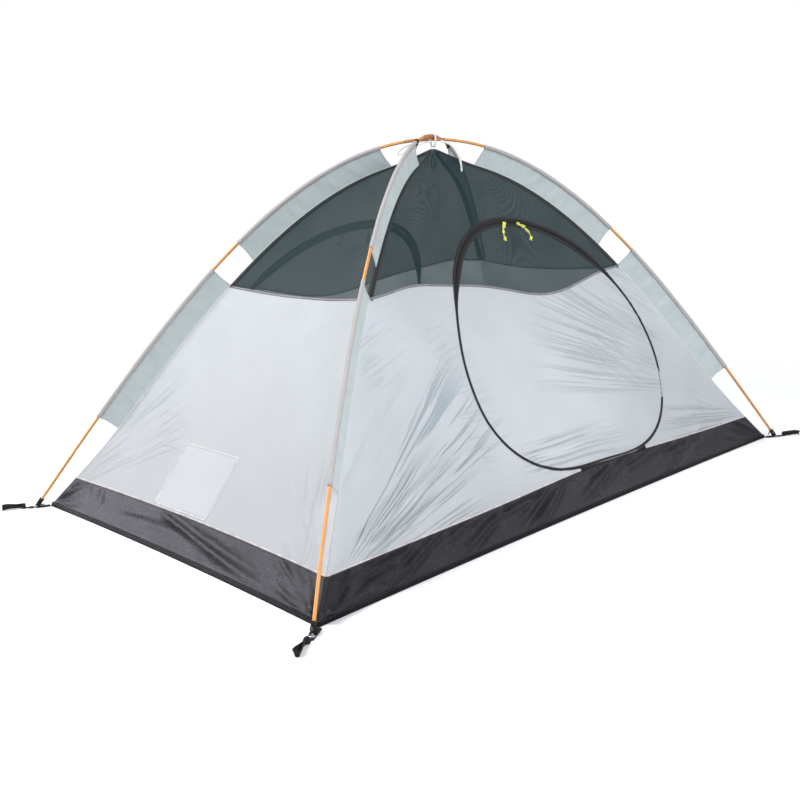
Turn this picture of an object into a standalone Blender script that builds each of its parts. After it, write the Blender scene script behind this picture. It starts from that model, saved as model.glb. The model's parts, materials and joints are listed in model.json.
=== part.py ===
"""Inner tent of a two-person dome tent, pitched on two crossing poles.

Metres, +Z up. The origin is on the ground under the centre of the floor. +X runs along the long
side and the front door faces -Y. The rear side is the front side turned half a turn about Z, and
the east end is the west end turned the same way.
"""

import math

import bpy
import numpy as np
from mathutils import Vector
from mathutils.geometry import delaunay_2d_cdt

# Poles. u runs from 0 at the crossing to 1 at a foot.
POLE_FOOT_X = 1.085
POLE_FOOT_Y = 0.648
POLE_HEIGHT = 1.0607
POLE_BOW = 0.032  # how far a leg bows sideways, towards the long axis
POLE_R = 0.00425
CROSSING_LIFT = 0.0048
POLE_JOINTS = (-0.99, -0.575, 0.0, 0.575, 0.99)
TIP_LENGTH = 0.0200
PIN_R = 0.0022

# Canopy. Its ridge seams hang below the poles.
SEAM_DROP = 0.068
SEAM_DROP_TOP = 0.030
SEAM_DROP_FOOT = 0.0404
LONG_SAG = 0.045
END_SAG = 0.035
FLOOR_SAG = 0.012
SKIN = 0.001
GAP = 0.0003
EDGE = 0.0004
APEX_U = 0.008
MESH_U = 0.5525  # where the mesh and the fabric meet on a ridge
TUB_U = 0.9445  # the tub's top edge
MESH_DIP_LONG = 0.068
MESH_DIP_X = 0.21
MESH_DIP_SPREAD = 0.24
MESH_RISE = 0.016
MESH_RISE_X = -0.38
MESH_RISE_SPREAD = 0.13
MESH_DIP_END = 0.024

# Sleeves: lower and upper, from u to u.
SLEEVES = {"lower": (0.55, 0.839), "upper": (0.137, 0.488)}
TUNNEL_IN = 0.0060
TUNNEL_OUT = 0.0072
WEB_HALF = 0.0007
WEB_GAP = 0.0012

# Door: a round outline in its wall's plane, radius = mean + waves.
DOOR_X = 0.157
DOOR_V = -0.7100
DOOR_R = 0.427
DOOR_WAVES = ((2, 0.021, -0.0093), (3, 0.0046, -0.0257), (4, -0.0068, 0.0019))
HINGE_FROM = -29.0
HINGE_TO = -19.0
ZIP_WIDE = 0.016
ZIP_NARROW = 0.006
ZIP_GAP = 0.0006
SLIDER_AT = {"left": 94.0, "right": 86.5}
SLIDER_SIZE = (0.013, 0.008, 0.0035)
SLIDER_CLEAR = 0.0022
PULL_R = 0.0012
PULL_LENGTH = 0.065

# Corners
STRAP_HALF = 0.010
STRAP_THICK = 0.0014
STRAP_PAST = 0.022
EYELET_R = 0.0058
LOOP_LENGTH = 0.075
LOOP_HALF_IN = 0.0095
LOOP_HALF_OUT = 0.0165
LOOP_SLOT_HALF = 0.0055

# Pocket on the west end wall, along its own left-right and up axes.
POCKET = (-0.170, 0.072, -1.366, -1.181)
POCKET_INSET = 0.005

# Apex
TIE_HALF = 0.0105
TAIL_FALL, TAIL_R = 0.0917, 0.0018
TIE_WIDTH = 0.010
TIE_THICK = 0.001
LANTERN_TOP = 0.0075  # below the canopy's peak
LANTERN_DROP = 0.026
HOOK_R = 0.0018
HOOK_HALF = 0.0085
HOOK_LENGTH = 0.032

CORNERS = {
    "front_west": (-1, -1),
    "rear_west": (-1, 1),
    "front_east": (1, -1),
    "rear_east": (1, 1),
}
REACH = math.hypot(POLE_FOOT_X, POLE_FOOT_Y)
MATERIALS = {
    "wall_fabric": ((0.66, 0.69, 0.74), 0.6, 0.0),
    "sleeve_fabric": ((0.48, 0.56, 0.58), 0.6, 0.0),
    "mesh": ((0.035, 0.045, 0.050), 0.8, 0.0),
    "tub_fabric": ((0.035, 0.034, 0.042), 0.45, 0.0),
    "zip_tape": ((0.012, 0.013, 0.015), 0.7, 0.0),
    "slider_metal": ((0.06, 0.06, 0.06), 0.35, 0.8),
    "pull_cord": ((0.55, 0.62, 0.10), 0.6, 0.0),
    "pole": ((0.80, 0.36, 0.08), 0.3, 0.9),
    "tip_metal": ((0.55, 0.55, 0.56), 0.3, 1.0),
    "webbing": ((0.020, 0.020, 0.022), 0.7, 0.0),
    "tie_tape": ((0.82, 0.82, 0.80), 0.7, 0.0),
    "hook_plastic": ((0.02, 0.02, 0.02), 0.4, 0.0),
    "pocket_fabric": ((0.84, 0.85, 0.87), 0.6, 0.0),
}


def make_materials():
    for name, (colour, roughness, metallic) in MATERIALS.items():
        material = bpy.data.materials.new(name)
        material.use_nodes = True
        shader = material.node_tree.nodes["Principled BSDF"]
        shader.inputs["Base Color"].default_value = (*colour, 1.0)
        shader.inputs["Roughness"].default_value = roughness
        shader.inputs["Metallic"].default_value = metallic
        material.diffuse_color = (*colour, 1.0)


def add_mesh(name, vertices, faces, material, origin=(0, 0, 0), smooth=False):
    """One closed mesh as an object with its origin at the given point."""
    origin = Vector(origin)
    mesh = bpy.data.meshes.new(name)
    mesh.from_pydata([Vector(p) - origin for p in vertices], [], faces)
    mesh.materials.append(bpy.data.materials[material])
    mesh.polygons.foreach_set("use_smooth", [smooth] * len(mesh.polygons))
    mesh.update()
    obj = bpy.data.objects.new(name, mesh)
    obj.location = origin
    bpy.context.scene.collection.objects.link(obj)
    return obj


# ---------------------------------------------------------------- poles and ridges


def in_plan(r, u):
    """The point at distance r from the centre on the leg over +X +Y, with the leg's sideways bow."""
    bow = 4 * POLE_BOW * u * (1 - u)
    x = (r * POLE_FOOT_X + bow * POLE_FOOT_Y) / REACH
    y = (r * POLE_FOOT_Y - bow * POLE_FOOT_X) / REACH
    return x, y


def pole_point(corner, u):
    """The axis of the pole that stands on this corner, u from 0 to 1."""
    sign_x, sign_y = CORNERS[corner]
    x, y = in_plan(REACH * u, u)
    fall = math.cos(math.pi / 2 * u)
    lift = CROSSING_LIFT * sign_x * sign_y * fall**8
    return Vector((sign_x * x, sign_y * y, POLE_HEIGHT * fall + lift))


def seam_drop(u):
    top = max(0.0, 1 - u / 0.15)
    foot = max(0.0, (u - 0.8) / 0.2)
    return SEAM_DROP - (SEAM_DROP - SEAM_DROP_TOP) * top**2 - (SEAM_DROP - SEAM_DROP_FOOT) * foot**2


def ridge_point(u, inset=0.0):
    """The canopy's ridge seam over +X +Y, square to the pole and below it."""
    slope = POLE_HEIGHT * math.pi / 2 / REACH * math.sin(math.pi / 2 * u)
    down = Vector((-slope, -1.0)).normalized()
    flat = max(0.0, (u - 0.8) / 0.2)
    down = (down * (1 - flat) + Vector((-1.0, 0.0)) * flat).normalized()
    drop = seam_drop(u) + inset
    x, y = in_plan(REACH * u + drop * down.x, u)
    z = POLE_HEIGHT * math.cos(math.pi / 2 * u) + drop * down.y
    return Vector((x, y, max(z, 0.0)))


def ridge_stations():
    """The values of u that every seam, sleeve and pole is drawn through, so that they stay parallel."""
    keys = {0.0, APEX_U, MESH_U, TUB_U, 1.0}
    keys.update(abs(u) for u in POLE_JOINTS)
    for ends in SLEEVES.values():
        keys.update(ends)
    keys = sorted(keys)
    stations = []
    for low, high in zip(keys, keys[1:]):
        parts = max(1, math.ceil((high - low) / 0.055))
        stations += [low + (high - low) * k / parts for k in range(parts)]
    return stations + [1.0]


STATIONS = ridge_stations()


def between(low, high):
    return [u for u in STATIONS if low - 1e-9 <= u <= high + 1e-9]


# ---------------------------------------------------------------- sides of the canopy


class Side:
    """One side of the canopy. (a, v) are metres to the right and up along the cloth, seen from outside."""

    def __init__(self, name):
        self.name = name
        self.long = name in ("front", "rear")
        self.turn = -1 if name in ("rear", "east") else 1
        self.table_u = np.linspace(0.0, 1.0, 201)
        middle = [self.at(0.0, u) for u in self.table_u]
        steps = [(q - p).length for p, q in zip(middle, middle[1:])]
        self.table_v = -np.concatenate([[0.0], np.cumsum(steps)])

    def sag(self, u):
        most = LONG_SAG if self.long else END_SAG
        return most * max(0.0, math.sin(math.pi * u)) ** 0.8 + FLOOR_SAG * u

    def at(self, s, u, inset=0.0):
        """The point at s from -1 on the left ridge to 1 on the right one."""
        ridge = ridge_point(u, inset)
        half, depth = (ridge.x, ridge.y) if self.long else (ridge.y, ridge.x)
        depth -= self.sag(u) * (1 - s * s)
        x, y = (s * half, -depth) if self.long else (-depth, -s * half)
        return Vector((x * self.turn, y * self.turn, ridge.z))

    def half(self, u):
        ridge = ridge_point(u)
        return ridge.x if self.long else ridge.y

    def u_of(self, v):
        return float(np.interp(-v, -self.table_v, self.table_u))

    def v_of(self, u):
        return float(np.interp(u, self.table_u, self.table_v))

    def point(self, a, v, inset=0.0):
        u = self.u_of(v)
        return self.at(a / self.half(u), u, inset)

    def normal(self, a, v):
        step = 0.002
        right = self.point(a + step, v) - self.point(a - step, v)
        up = self.point(a, v + step) - self.point(a, v - step)
        return right.cross(up).normalized()

    def mesh_line(self, a):
        """The height v where mesh and fabric meet."""
        s = a / self.half(MESH_U)
        if not self.long:
            return self.v_of(MESH_U) - MESH_DIP_END * max(0.0, 1 - s * s)
        dip = MESH_DIP_LONG * math.exp(-(((a - MESH_DIP_X) / MESH_DIP_SPREAD) ** 2))
        rise = MESH_RISE * math.exp(-(((a - MESH_RISE_X) / MESH_RISE_SPREAD) ** 2))
        fade = 1 - s**8 if abs(s) < 1 else 1.0
        return self.v_of(MESH_U) + (rise - dip) * fade

    # Edges of panels, as lists of (a, v).

    def ridge(self, sign, low, high):
        return [(sign * (self.half(u) - EDGE), self.v_of(u)) for u in between(low, high)]

    def seam(self, start, end, off):
        """Along the mesh line from a = start to a = end, off above it."""
        grid = [0.05 * k for k in range(-20, 21)]
        low, high = min(start, end), max(start, end)
        inner = [a for a in grid if low + 0.004 < a < high - 0.004]
        if start > end:
            inner.reverse()
        return [(a, self.mesh_line(a) + off) for a in [start, *inner, end]]

    def tub_line(self, start, end):
        v = self.v_of(TUB_U) + GAP
        parts = max(2, math.ceil(abs(end - start) / 0.14))
        return [(start + (end - start) * k / parts, v) for k in range(parts + 1)]

    def corner_a(self):
        """Where the mesh line reaches the right ridge."""
        return self.half(MESH_U) - EDGE


SIDES = {name: Side(name) for name in ("front", "rear", "west", "east")}


# ---------------------------------------------------------------- door outline


def smoothstep(low, high, x):
    t = min(1.0, max(0.0, (x - low) / (high - low)))
    return t * t * (3 - 2 * t)


def door_radius(angle):
    turn = math.radians(angle)
    waves = (c * math.cos(n * turn) + s * math.sin(n * turn) for n, c, s in DOOR_WAVES)
    return DOOR_R + sum(waves)


def zip_half(angle):
    """Half the width of the zip: none on the sewn hinge, wide over the mesh, narrow below it."""
    angle = (angle + 180.0) % 360.0 - 180.0
    if HINGE_FROM <= angle <= HINGE_TO:
        return 0.0
    over = smoothstep(22.0, 50.0, angle) * (1 - smoothstep(138.0, 160.0, angle))
    return ZIP_NARROW + (ZIP_WIDE - ZIP_NARROW) * over


def outline(angle, off):
    turn = math.radians(angle)
    r = door_radius(angle) + off
    return DOOR_X + r * math.cos(turn), DOOR_V + r * math.sin(turn)


def hole_edge(angle):
    return zip_half(angle) + ZIP_GAP


def panel_edge(angle):
    return -zip_half(angle) - ZIP_GAP


def arc(start, end, off):
    """Points on the outline from one angle to another, on angles that every piece shares."""
    shared = {4.0 * k for k in range(-90, 181)}
    for turn in (-360.0, 0.0, 360.0):
        for angle in (HINGE_FROM, HINGE_TO):
            shared.update((angle + turn - 0.4, angle + turn, angle + turn + 0.4))
    low, high = min(start, end), max(start, end)
    inner = sorted(a for a in shared if low + 0.3 < a < high - 0.3)
    if start > end:
        inner.reverse()
    return [outline(a, off(a)) for a in [start, *inner, end]]


def crossing(side, low, high, off, rise):
    """The angle between low and high where the offset outline meets the mesh line plus rise."""

    def above(angle):
        a, v = outline(angle, off(angle))
        return v - side.mesh_line(a) - rise

    start = above(low)
    for _ in range(50):
        middle = (low + high) / 2
        if above(middle) * start > 0:
            low = middle
        else:
            high = middle
    return low


def leaves_tub(side, low, high, clear):
    """The angle between low and high where the hole's edge comes within clear of the tub."""

    def above(angle):
        return outline(angle, hole_edge(angle))[1] - side.v_of(TUB_U) - clear

    start = above(low)
    for _ in range(50):
        middle = (low + high) / 2
        if above(middle) * start > 0:
            low = middle
        else:
            high = middle
    return low


# ---------------------------------------------------------------- thin sheets


def inside(points, loops):
    """Which points lie inside an odd number of the loops."""
    found = np.zeros(len(points), bool)
    for loop in loops:
        ends = np.roll(loop, -1, axis=0)
        for (x0, y0), (x1, y1) in zip(loop, ends):
            if y0 == y1:
                continue
            crosses = (points[:, 1] > min(y0, y1)) & (points[:, 1] <= max(y0, y1))
            at = x0 + (points[:, 1] - y0) * (x1 - x0) / (y1 - y0)
            found ^= crosses & (points[:, 0] < at)
    return found


def edge_distance(points, loops):
    nearest = np.full(len(points), np.inf)
    for loop in loops:
        ends = np.roll(loop, -1, axis=0)
        for start, end in zip(loop, ends):
            along = end - start
            t = ((points - start) @ along) / max(along @ along, 1e-12)
            foot = start + np.clip(t, 0, 1)[:, None] * along
            nearest = np.minimum(nearest, np.linalg.norm(points - foot, axis=1))
    return nearest


def triangulate(loops, step):
    """Triangles, counter-clockwise, that fill the loops, with inner points about step apart."""
    loops = [np.array(loop) for loop in loops]
    low = np.floor(np.min([loop.min(axis=0) for loop in loops], axis=0) / step) * step
    high = np.max([loop.max(axis=0) for loop in loops], axis=0)
    xs = np.arange(low[0], high[0] + step, step)
    ys = np.arange(low[1], high[1] + step, step)
    grid = np.array([(x, y) for x in xs for y in ys])
    keep = inside(grid, loops) & (edge_distance(grid, loops) > 0.42 * step)
    points = np.concatenate([*loops, grid[keep]])
    edges = []
    start = 0
    for loop in loops:
        count = len(loop)
        edges += [(start + k, start + (k + 1) % count) for k in range(count)]
        start += count
    made = delaunay_2d_cdt([Vector(p) for p in points], edges, [], 0, 1e-7)
    corners = np.array([tuple(p) for p in made[0]])
    faces = np.array([tuple(face) for face in made[2]])
    middles = corners[faces].mean(axis=1)
    faces = faces[inside(middles, loops)]
    first = corners[faces[:, 1]] - corners[faces[:, 0]]
    second = corners[faces[:, 2]] - corners[faces[:, 0]]
    area = first[:, 0] * second[:, 1] - first[:, 1] * second[:, 0]
    faces[area < 0] = faces[area < 0][:, ::-1]
    used = np.unique(faces)
    renumber = np.zeros(len(corners), int)
    renumber[used] = np.arange(len(used))
    return corners[used], renumber[faces]


def closed_sheet(name, corners, faces, outer, inner, material, origin=(0, 0, 0)):
    """A sheet between two layers: outer(a, v) and inner(a, v) give the points of its two faces."""
    count = len(corners)
    vertices = [outer(a, v) for a, v in corners] + [inner(a, v) for a, v in corners]
    solid = [tuple(int(k) for k in face) for face in faces]
    shell = solid + [tuple(k + count for k in reversed(face)) for face in solid]
    edges = {(face[k], face[(k + 1) % 3]) for face in solid for k in range(3)}
    for i, j in sorted(edges):
        if (j, i) not in edges:
            shell.append((j, i, i + count, j + count))
    return add_mesh(name, vertices, shell, material, origin)


def cloth(name, side, loops, material, step=0.12, inset=0.0, thick=SKIN, origin=(0, 0, 0)):
    corners, faces = triangulate(loops, step)

    def outer(a, v):
        return side.point(a, v, inset)

    def inner(a, v):
        return side.point(a, v, inset + thick)

    return closed_sheet(name, corners, faces, outer, inner, material, origin)


# ---------------------------------------------------------------- swept shapes


def frames(path, hint):
    """At each point of the path: along it, and two axes square to it, the first nearest to hint."""
    found = []
    for k, point in enumerate(path):
        before = path[max(k - 1, 0)]
        after = path[min(k + 1, len(path) - 1)]
        along = (after - before).normalized()
        towards = hint(k) if callable(hint) else hint
        first = (towards - along * towards.dot(along)).normalized()
        found.append((point, along, first, along.cross(first)))
    return found


def bridge(rings, faces, count, closed):
    """Quads between neighbouring rings of the same count of points."""
    last = rings if closed else rings - 1
    for k in range(last):
        here, there = k * count, ((k + 1) % rings) * count
        for j in range(count):
            following = (j + 1) % count
            faces.append((here + j, here + following, there + following, there + j))


def sweep(name, path, hint, profiles, material, closed=False, smooth=False, origin=(0, 0, 0)):
    """Moves a closed profile along the path. profiles(k) gives it as (first, second) pairs."""
    vertices = []
    for k, (point, _, first, second) in enumerate(frames_closed(path, hint, closed)):
        vertices += [point + first * p + second * q for p, q in profiles(k)]
    count = len(profiles(0))
    faces = []
    bridge(len(path), faces, count, closed)
    if not closed:
        faces.append(tuple(reversed(range(count))))
        faces.append(tuple(range(len(vertices) - count, len(vertices))))
    return add_mesh(name, vertices, faces, material, origin, smooth)


def frames_closed(path, hint, closed):
    if not closed:
        return frames(path, hint)
    count = len(path)
    found = []
    for k, point in enumerate(path):
        along = (path[(k + 1) % count] - path[k - 1]).normalized()
        first = (hint - along * hint.dot(along)).normalized()
        found.append((point, along, first, along.cross(first)))
    return found


def circle(radius, count, start=0.0):
    turns = [2 * math.pi * (k + start) / count for k in range(count)]
    return [(radius * math.cos(t), radius * math.sin(t)) for t in turns]


def rectangle(first, second):
    """A profile of this full size along the frame's two axes."""
    p, q = first / 2, second / 2
    return [(-p, -q), (p, -q), (p, q), (-p, q)]


# ---------------------------------------------------------------- poles, sleeves, tips


def leg(corner, low, high):
    """Points of a pole leg on the shared stations."""
    return [pole_point(corner, u) for u in between(low, high)]


def to_ridge(corner, u):
    """From the pole's axis to the canopy's ridge seam on this corner."""
    sign_x, sign_y = CORNERS[corner]
    ridge = ridge_point(u)
    return Vector((sign_x * ridge.x, sign_y * ridge.y, ridge.z)) - pole_point(corner, u)


def add_pole(pole, start, end):
    """One pole in four sections, from its start corner over the crossing to its end corner."""
    for number, (low, high) in enumerate(zip(POLE_JOINTS, POLE_JOINTS[1:]), 1):
        corner = start if high <= 0 else end
        path = leg(corner, min(abs(low), abs(high)), max(abs(low), abs(high)))
        if high <= 0:
            path.reverse()
        away = (path[1] - path[0]).normalized() * GAP / 2
        back = (path[-2] - path[-1]).normalized() * GAP / 2
        path = [path[0] + away, *path[1:-1], path[-1] + back]
        name = f"{pole}_pole_section_{number}"
        sweep(name, path, Vector((0, 0, -1)), lambda k: circle(POLE_R, 12), "pole", smooth=True)


def add_tip(corner):
    """The metal tip: a collar as wide as the tube, and a pin through the strap's eyelet."""
    foot = pole_point(corner, 1.0)
    top = pole_point(corner, 0.99)
    along = (foot - top).normalized()
    start = top + along * GAP
    length = (foot - start).length - 0.0022
    shape = ((0.0, 0.0036), (0.002, POLE_R), (0.007, POLE_R), (0.0085, PIN_R), (length, PIN_R))
    path = [start + along * at for at, _ in shape]
    radii = [radius for _, radius in shape]
    sweep(
        f"pole_tip_{corner}",
        path,
        Vector((0, 0, -1)),
        lambda k: circle(radii[k], 10),
        "tip_metal",
        smooth=True,
    )


def sleeve_profile(reach):
    """Outer outline of a sleeve: a tunnel round the pole with a flat web down to the ridge."""
    root = math.sqrt(TUNNEL_OUT**2 - WEB_HALF**2)
    ring = [30 + 300 * k / 8 for k in range(9)]
    round_part = [
        (TUNNEL_OUT * math.cos(math.radians(t)), TUNNEL_OUT * math.sin(math.radians(t)))
        for t in ring
    ]
    return [(root, -WEB_HALF), (reach, -WEB_HALF), (reach, WEB_HALF), (root, WEB_HALF), *round_part]


def sleeve_bore():
    """Inner outline with as many points as the outer one."""
    angles = [-18, -6, 6, 18] + [30 + 300 * k / 8 for k in range(9)]
    return [
        (TUNNEL_IN * math.cos(math.radians(t)), TUNNEL_IN * math.sin(math.radians(t)))
        for t in angles
    ]


def add_sleeve(corner, level):
    low, high = SLEEVES[level]
    stations = between(low, high)
    path = [pole_point(corner, u) for u in stations]
    hints = [to_ridge(corner, u) for u in stations]
    outer, inner = [], []
    for k, (point, _, first, second) in enumerate(frames(path, lambda k: hints[k])):
        reach = hints[k].dot(first) - WEB_GAP
        outer += [point + first * p + second * q for p, q in sleeve_profile(reach)]
        inner += [point + first * p + second * q for p, q in sleeve_bore()]
    count = len(sleeve_profile(0.05))
    rings = len(path)
    faces = []
    bridge(rings, faces, count, False)
    shift = len(outer)
    faces += [tuple(k + shift for k in reversed(face)) for face in list(faces)]
    last = (rings - 1) * count
    for j in range(count):
        following = (j + 1) % count
        faces.append((following, j, shift + j, shift + following))
        end = last + shift
        faces.append((last + j, last + following, end + following, end + j))
    add_mesh(f"sleeve_{level}_{corner}", outer + inner, faces, "sleeve_fabric")


# ---------------------------------------------------------------- walls, mesh, doors


def add_end(name):
    side = SIDES[name]
    right = side.corner_a()
    seam = side.seam(-right, right, -GAP)
    lower = side.tub_line(-side.half(TUB_U) + EDGE, side.half(TUB_U) - EDGE)
    up_right = side.ridge(1, MESH_U, TUB_U)[::-1][1:-1]
    down_left = side.ridge(-1, MESH_U, TUB_U)[1:-1]
    cloth(f"{name}_wall", side, [lower + up_right + seam[::-1] + down_left], "wall_fabric")
    seam = side.seam(-right, right, GAP)
    up = side.ridge(1, APEX_U, MESH_U)[::-1][1:]
    down = side.ridge(-1, APEX_U, MESH_U)[:-1]
    cloth(f"{name}_mesh", side, [seam + up + down], "mesh")


def add_long_side(name):
    side = SIDES[name]
    reach = side.corner_a()
    base = side.half(TUB_U) - EDGE
    # Fabric to the left of the door, as seen from outside.
    start = crossing(side, 100.0, 200.0, hole_edge, -GAP)
    end = leaves_tub(side, 200.0, 262.0, 0.0035)
    edge = arc(start, end, hole_edge)
    last_a = edge[-1][0]
    loop = side.tub_line(-base, last_a)
    loop += edge[::-1]
    loop += side.seam(edge[0][0], -reach, -GAP)[1:]
    loop += side.ridge(-1, MESH_U, TUB_U)[1:-1]
    cloth(f"{name}_wall_left", side, [loop], "wall_fabric")
    # Fabric to the right of it.
    start = leaves_tub(side, 320.0, 290.0, 0.0035)
    end = 360.0 + crossing(side, 10.0, 80.0, hole_edge, -GAP)
    edge = arc(start, end, hole_edge)
    loop = side.tub_line(edge[0][0], base)
    loop += side.ridge(1, MESH_U, TUB_U)[::-1][1:-1]
    loop += side.seam(reach, edge[-1][0], -GAP)
    loop += edge[::-1][1:]
    cloth(f"{name}_wall_right", side, [loop], "wall_fabric")
    # Mesh over and beside the door.
    left = crossing(side, 100.0, 200.0, hole_edge, GAP)
    right = crossing(side, 10.0, 80.0, hole_edge, GAP)
    edge = arc(left, right, hole_edge)
    loop = side.seam(-reach, edge[0][0], GAP)
    loop += edge[1:]
    loop += side.seam(edge[-1][0], reach, GAP)[1:]
    loop += side.ridge(1, APEX_U, MESH_U)[::-1][1:]
    loop += side.ridge(-1, APEX_U, MESH_U)[:-1]
    cloth(f"{name}_mesh", side, [loop], "mesh")


def hinge_of(side):
    """A point on the door's sewn edge, which every piece of the door has as its origin."""
    middle = (HINGE_FROM + HINGE_TO) / 2
    return side.point(*outline(middle, 0.0))


def add_door(name):
    side = SIDES[name]
    origin = hinge_of(side)
    left = crossing(side, 100.0, 200.0, panel_edge, -GAP)
    right = 360.0 + crossing(side, 10.0, 80.0, panel_edge, -GAP)
    edge = arc(left, right, panel_edge)
    loop = edge + side.seam(edge[-1][0], edge[0][0], -GAP)[1:-1]
    cloth(f"{name}_door_fabric", side, [loop], "wall_fabric", origin=origin)
    left = crossing(side, 100.0, 200.0, panel_edge, GAP)
    right = crossing(side, 10.0, 80.0, panel_edge, GAP)
    edge = arc(right, left, panel_edge)
    loop = edge + side.seam(edge[-1][0], edge[0][0], GAP)[1:-1]
    cloth(f"{name}_door_mesh", side, [loop], "mesh", origin=origin)


def add_zip(name):
    """The two tapes of the zip, one sewn to the wall and one to the door, open at the sewn hinge."""
    side = SIDES[name]
    start, end = HINGE_TO + 0.4, 360.0 + HINGE_FROM - 0.4

    def split(angle):
        return ZIP_GAP / 2

    def wall_edge(angle):
        return zip_half(angle)

    def door_split(angle):
        return -ZIP_GAP / 2

    def door_edge(angle):
        return -zip_half(angle)

    loop = arc(start, end, wall_edge) + arc(end, start, split)
    cloth(f"{name}_zip_wall_tape", side, [loop], "zip_tape", step=1.0)
    loop = arc(start, end, door_split) + arc(end, start, door_edge)
    name = f"{name}_zip_door_tape"
    cloth(name, side, [loop], "zip_tape", step=1.0, origin=hinge_of(side))


def slider_frame(side, angle):
    """The slider's place on the zip: point, along the zip, across it and out of the cloth."""
    point = side.point(*outline(angle, 0.0))
    ahead = side.point(*outline(angle + 1.0, 0.0))
    out = side.normal(*outline(angle, 0.0))
    along = (ahead - point).normalized()
    across = out.cross(along).normalized()
    return point, along, across, out


def add_slider(name, hand):
    side = SIDES[name]
    angle = SLIDER_AT[hand]
    point, along, across, out = slider_frame(side, angle)
    length, width, height = SLIDER_SIZE
    base = point + out * SLIDER_CLEAR
    outline_points = []
    for part in range(12):
        turn = 2 * math.pi * part / 12
        swell = 0.82 + 0.18 * math.cos(2 * turn)
        p = length / 2 * math.cos(turn) * swell
        q = width / 2 * math.sin(turn)
        outline_points.append(along * p + across * q)
    rows = ((0.0, 1.0), (0.6, 1.0), (1.0, 0.6))
    vertices = [base + out * height * up + flat * scale for up, scale in rows for flat in outline_points]
    faces = []
    bridge(len(rows), faces, 12, False)
    faces.append(tuple(reversed(range(12))))
    faces.append(tuple(range(24, 36)))
    add_mesh(f"{name}_zip_slider_{hand}", vertices, faces, "slider_metal", point)


def add_pull(name, hand):
    """The cord on a slider, lying down over the mesh below it."""
    side = SIDES[name]
    angle = SLIDER_AT[hand]
    lean = 0.028 if hand == "left" else -0.034
    start_a, start_v = outline(angle, -SLIDER_SIZE[1] / 2 - PULL_R - 0.001)
    points = []
    for k in range(9):
        t = k / 8
        a = start_a - lean * math.sin(1.9 * t)
        v = start_v - PULL_LENGTH * (0.92 * t)
        points.append(side.point(a, v) + side.normal(a, v) * (0.005 + 0.004 * math.sin(math.pi * t)))
    data = bpy.data.curves.new(f"{name}_zip_pull_{hand}", "CURVE")
    data.dimensions = "3D"
    data.bevel_depth = PULL_R
    data.bevel_resolution = 2
    data.use_fill_caps = True
    spline = data.splines.new("POLY")
    spline.points.add(len(points) - 1)
    for place, point in zip(spline.points, points):
        place.co = (*(point - points[0]), 1.0)
    data.materials.append(bpy.data.materials["pull_cord"])
    obj = bpy.data.objects.new(data.name, data)
    obj.location = points[0]
    bpy.context.scene.collection.objects.link(obj)


def add_pocket():
    left, right, low, high = POCKET
    side = SIDES["west"]
    across = np.linspace(left, right, 4)
    upward = np.linspace(low, high, 4)
    loop = [(a, low) for a in across]
    loop += [(right, v) for v in upward[1:]]
    loop += [(a, high) for a in across[::-1][1:]]
    loop += [(left, v) for v in upward[::-1][1:-1]]
    cloth("inner_pocket", side, [loop], "pocket_fabric", step=0.08, inset=POCKET_INSET)


# ---------------------------------------------------------------- tub floor


def tub_ring(u, inset):
    """The four sides' points at this u, in order round the tent."""
    ring = []
    for name in ("front", "east", "rear", "west"):
        side = SIDES[name]
        ring += [side.at(-1 + 2 * k / 8, u, inset) for k in range(8)]
    return ring


def add_tub():
    """The floor with its walls turned up, one thin basin."""
    rows = [tub_ring(u, 0.0) for u in between(TUB_U, 1.0)]
    outer = [p for ring in rows for p in ring]
    inner_rows = [tub_ring(u, SKIN) for u in between(TUB_U, 1.0)]
    for point in inner_rows[-1]:
        point.z = SKIN
    inner = [p for ring in inner_rows for p in ring]
    count = 32
    rings = len(rows)
    quads = []
    bridge(rings, quads, count, False)
    faces = []
    for a, b, c, d in quads:
        faces += [(a, c, b), (a, d, c)]
    shift = len(outer)
    faces += [tuple(k + shift for k in reversed(face)) for face in faces[:]]
    last = (rings - 1) * count
    faces.append(tuple(reversed(range(last, last + count))))
    faces.append(tuple(range(shift + last, shift + last + count)))
    for j in range(count):
        following = (j + 1) % count
        faces.append((j, following, shift + following, shift + j))
    add_mesh("tub_floor", outer + inner, faces, "tub_fabric")


# ---------------------------------------------------------------- corner straps and stake loops


def flat_piece(name, loops, corner, low, high, material, origin=(0, 0, 0), step=1.0):
    """A flat plate on the ground. Its outline is (out from the centre along the diagonal, sideways)."""
    sign_x, sign_y = CORNERS[corner]
    outward = Vector((sign_x * POLE_FOOT_X, sign_y * POLE_FOOT_Y, 0)) / REACH
    sideways = Vector((-outward.y, outward.x, 0))
    corners, faces = triangulate(loops, step)

    def place(z):
        return lambda out, across: outward * out + sideways * across + Vector((0, 0, z))

    return closed_sheet(name, corners, faces, place(high), place(low), material, origin)


def round_hole(centre, radius, count=16):
    return [(centre + p, q) for p, q in circle(radius, count)]


def strap_start():
    ridge = ridge_point(1.0)
    return math.hypot(ridge.x, ridge.y) + EDGE


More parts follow.
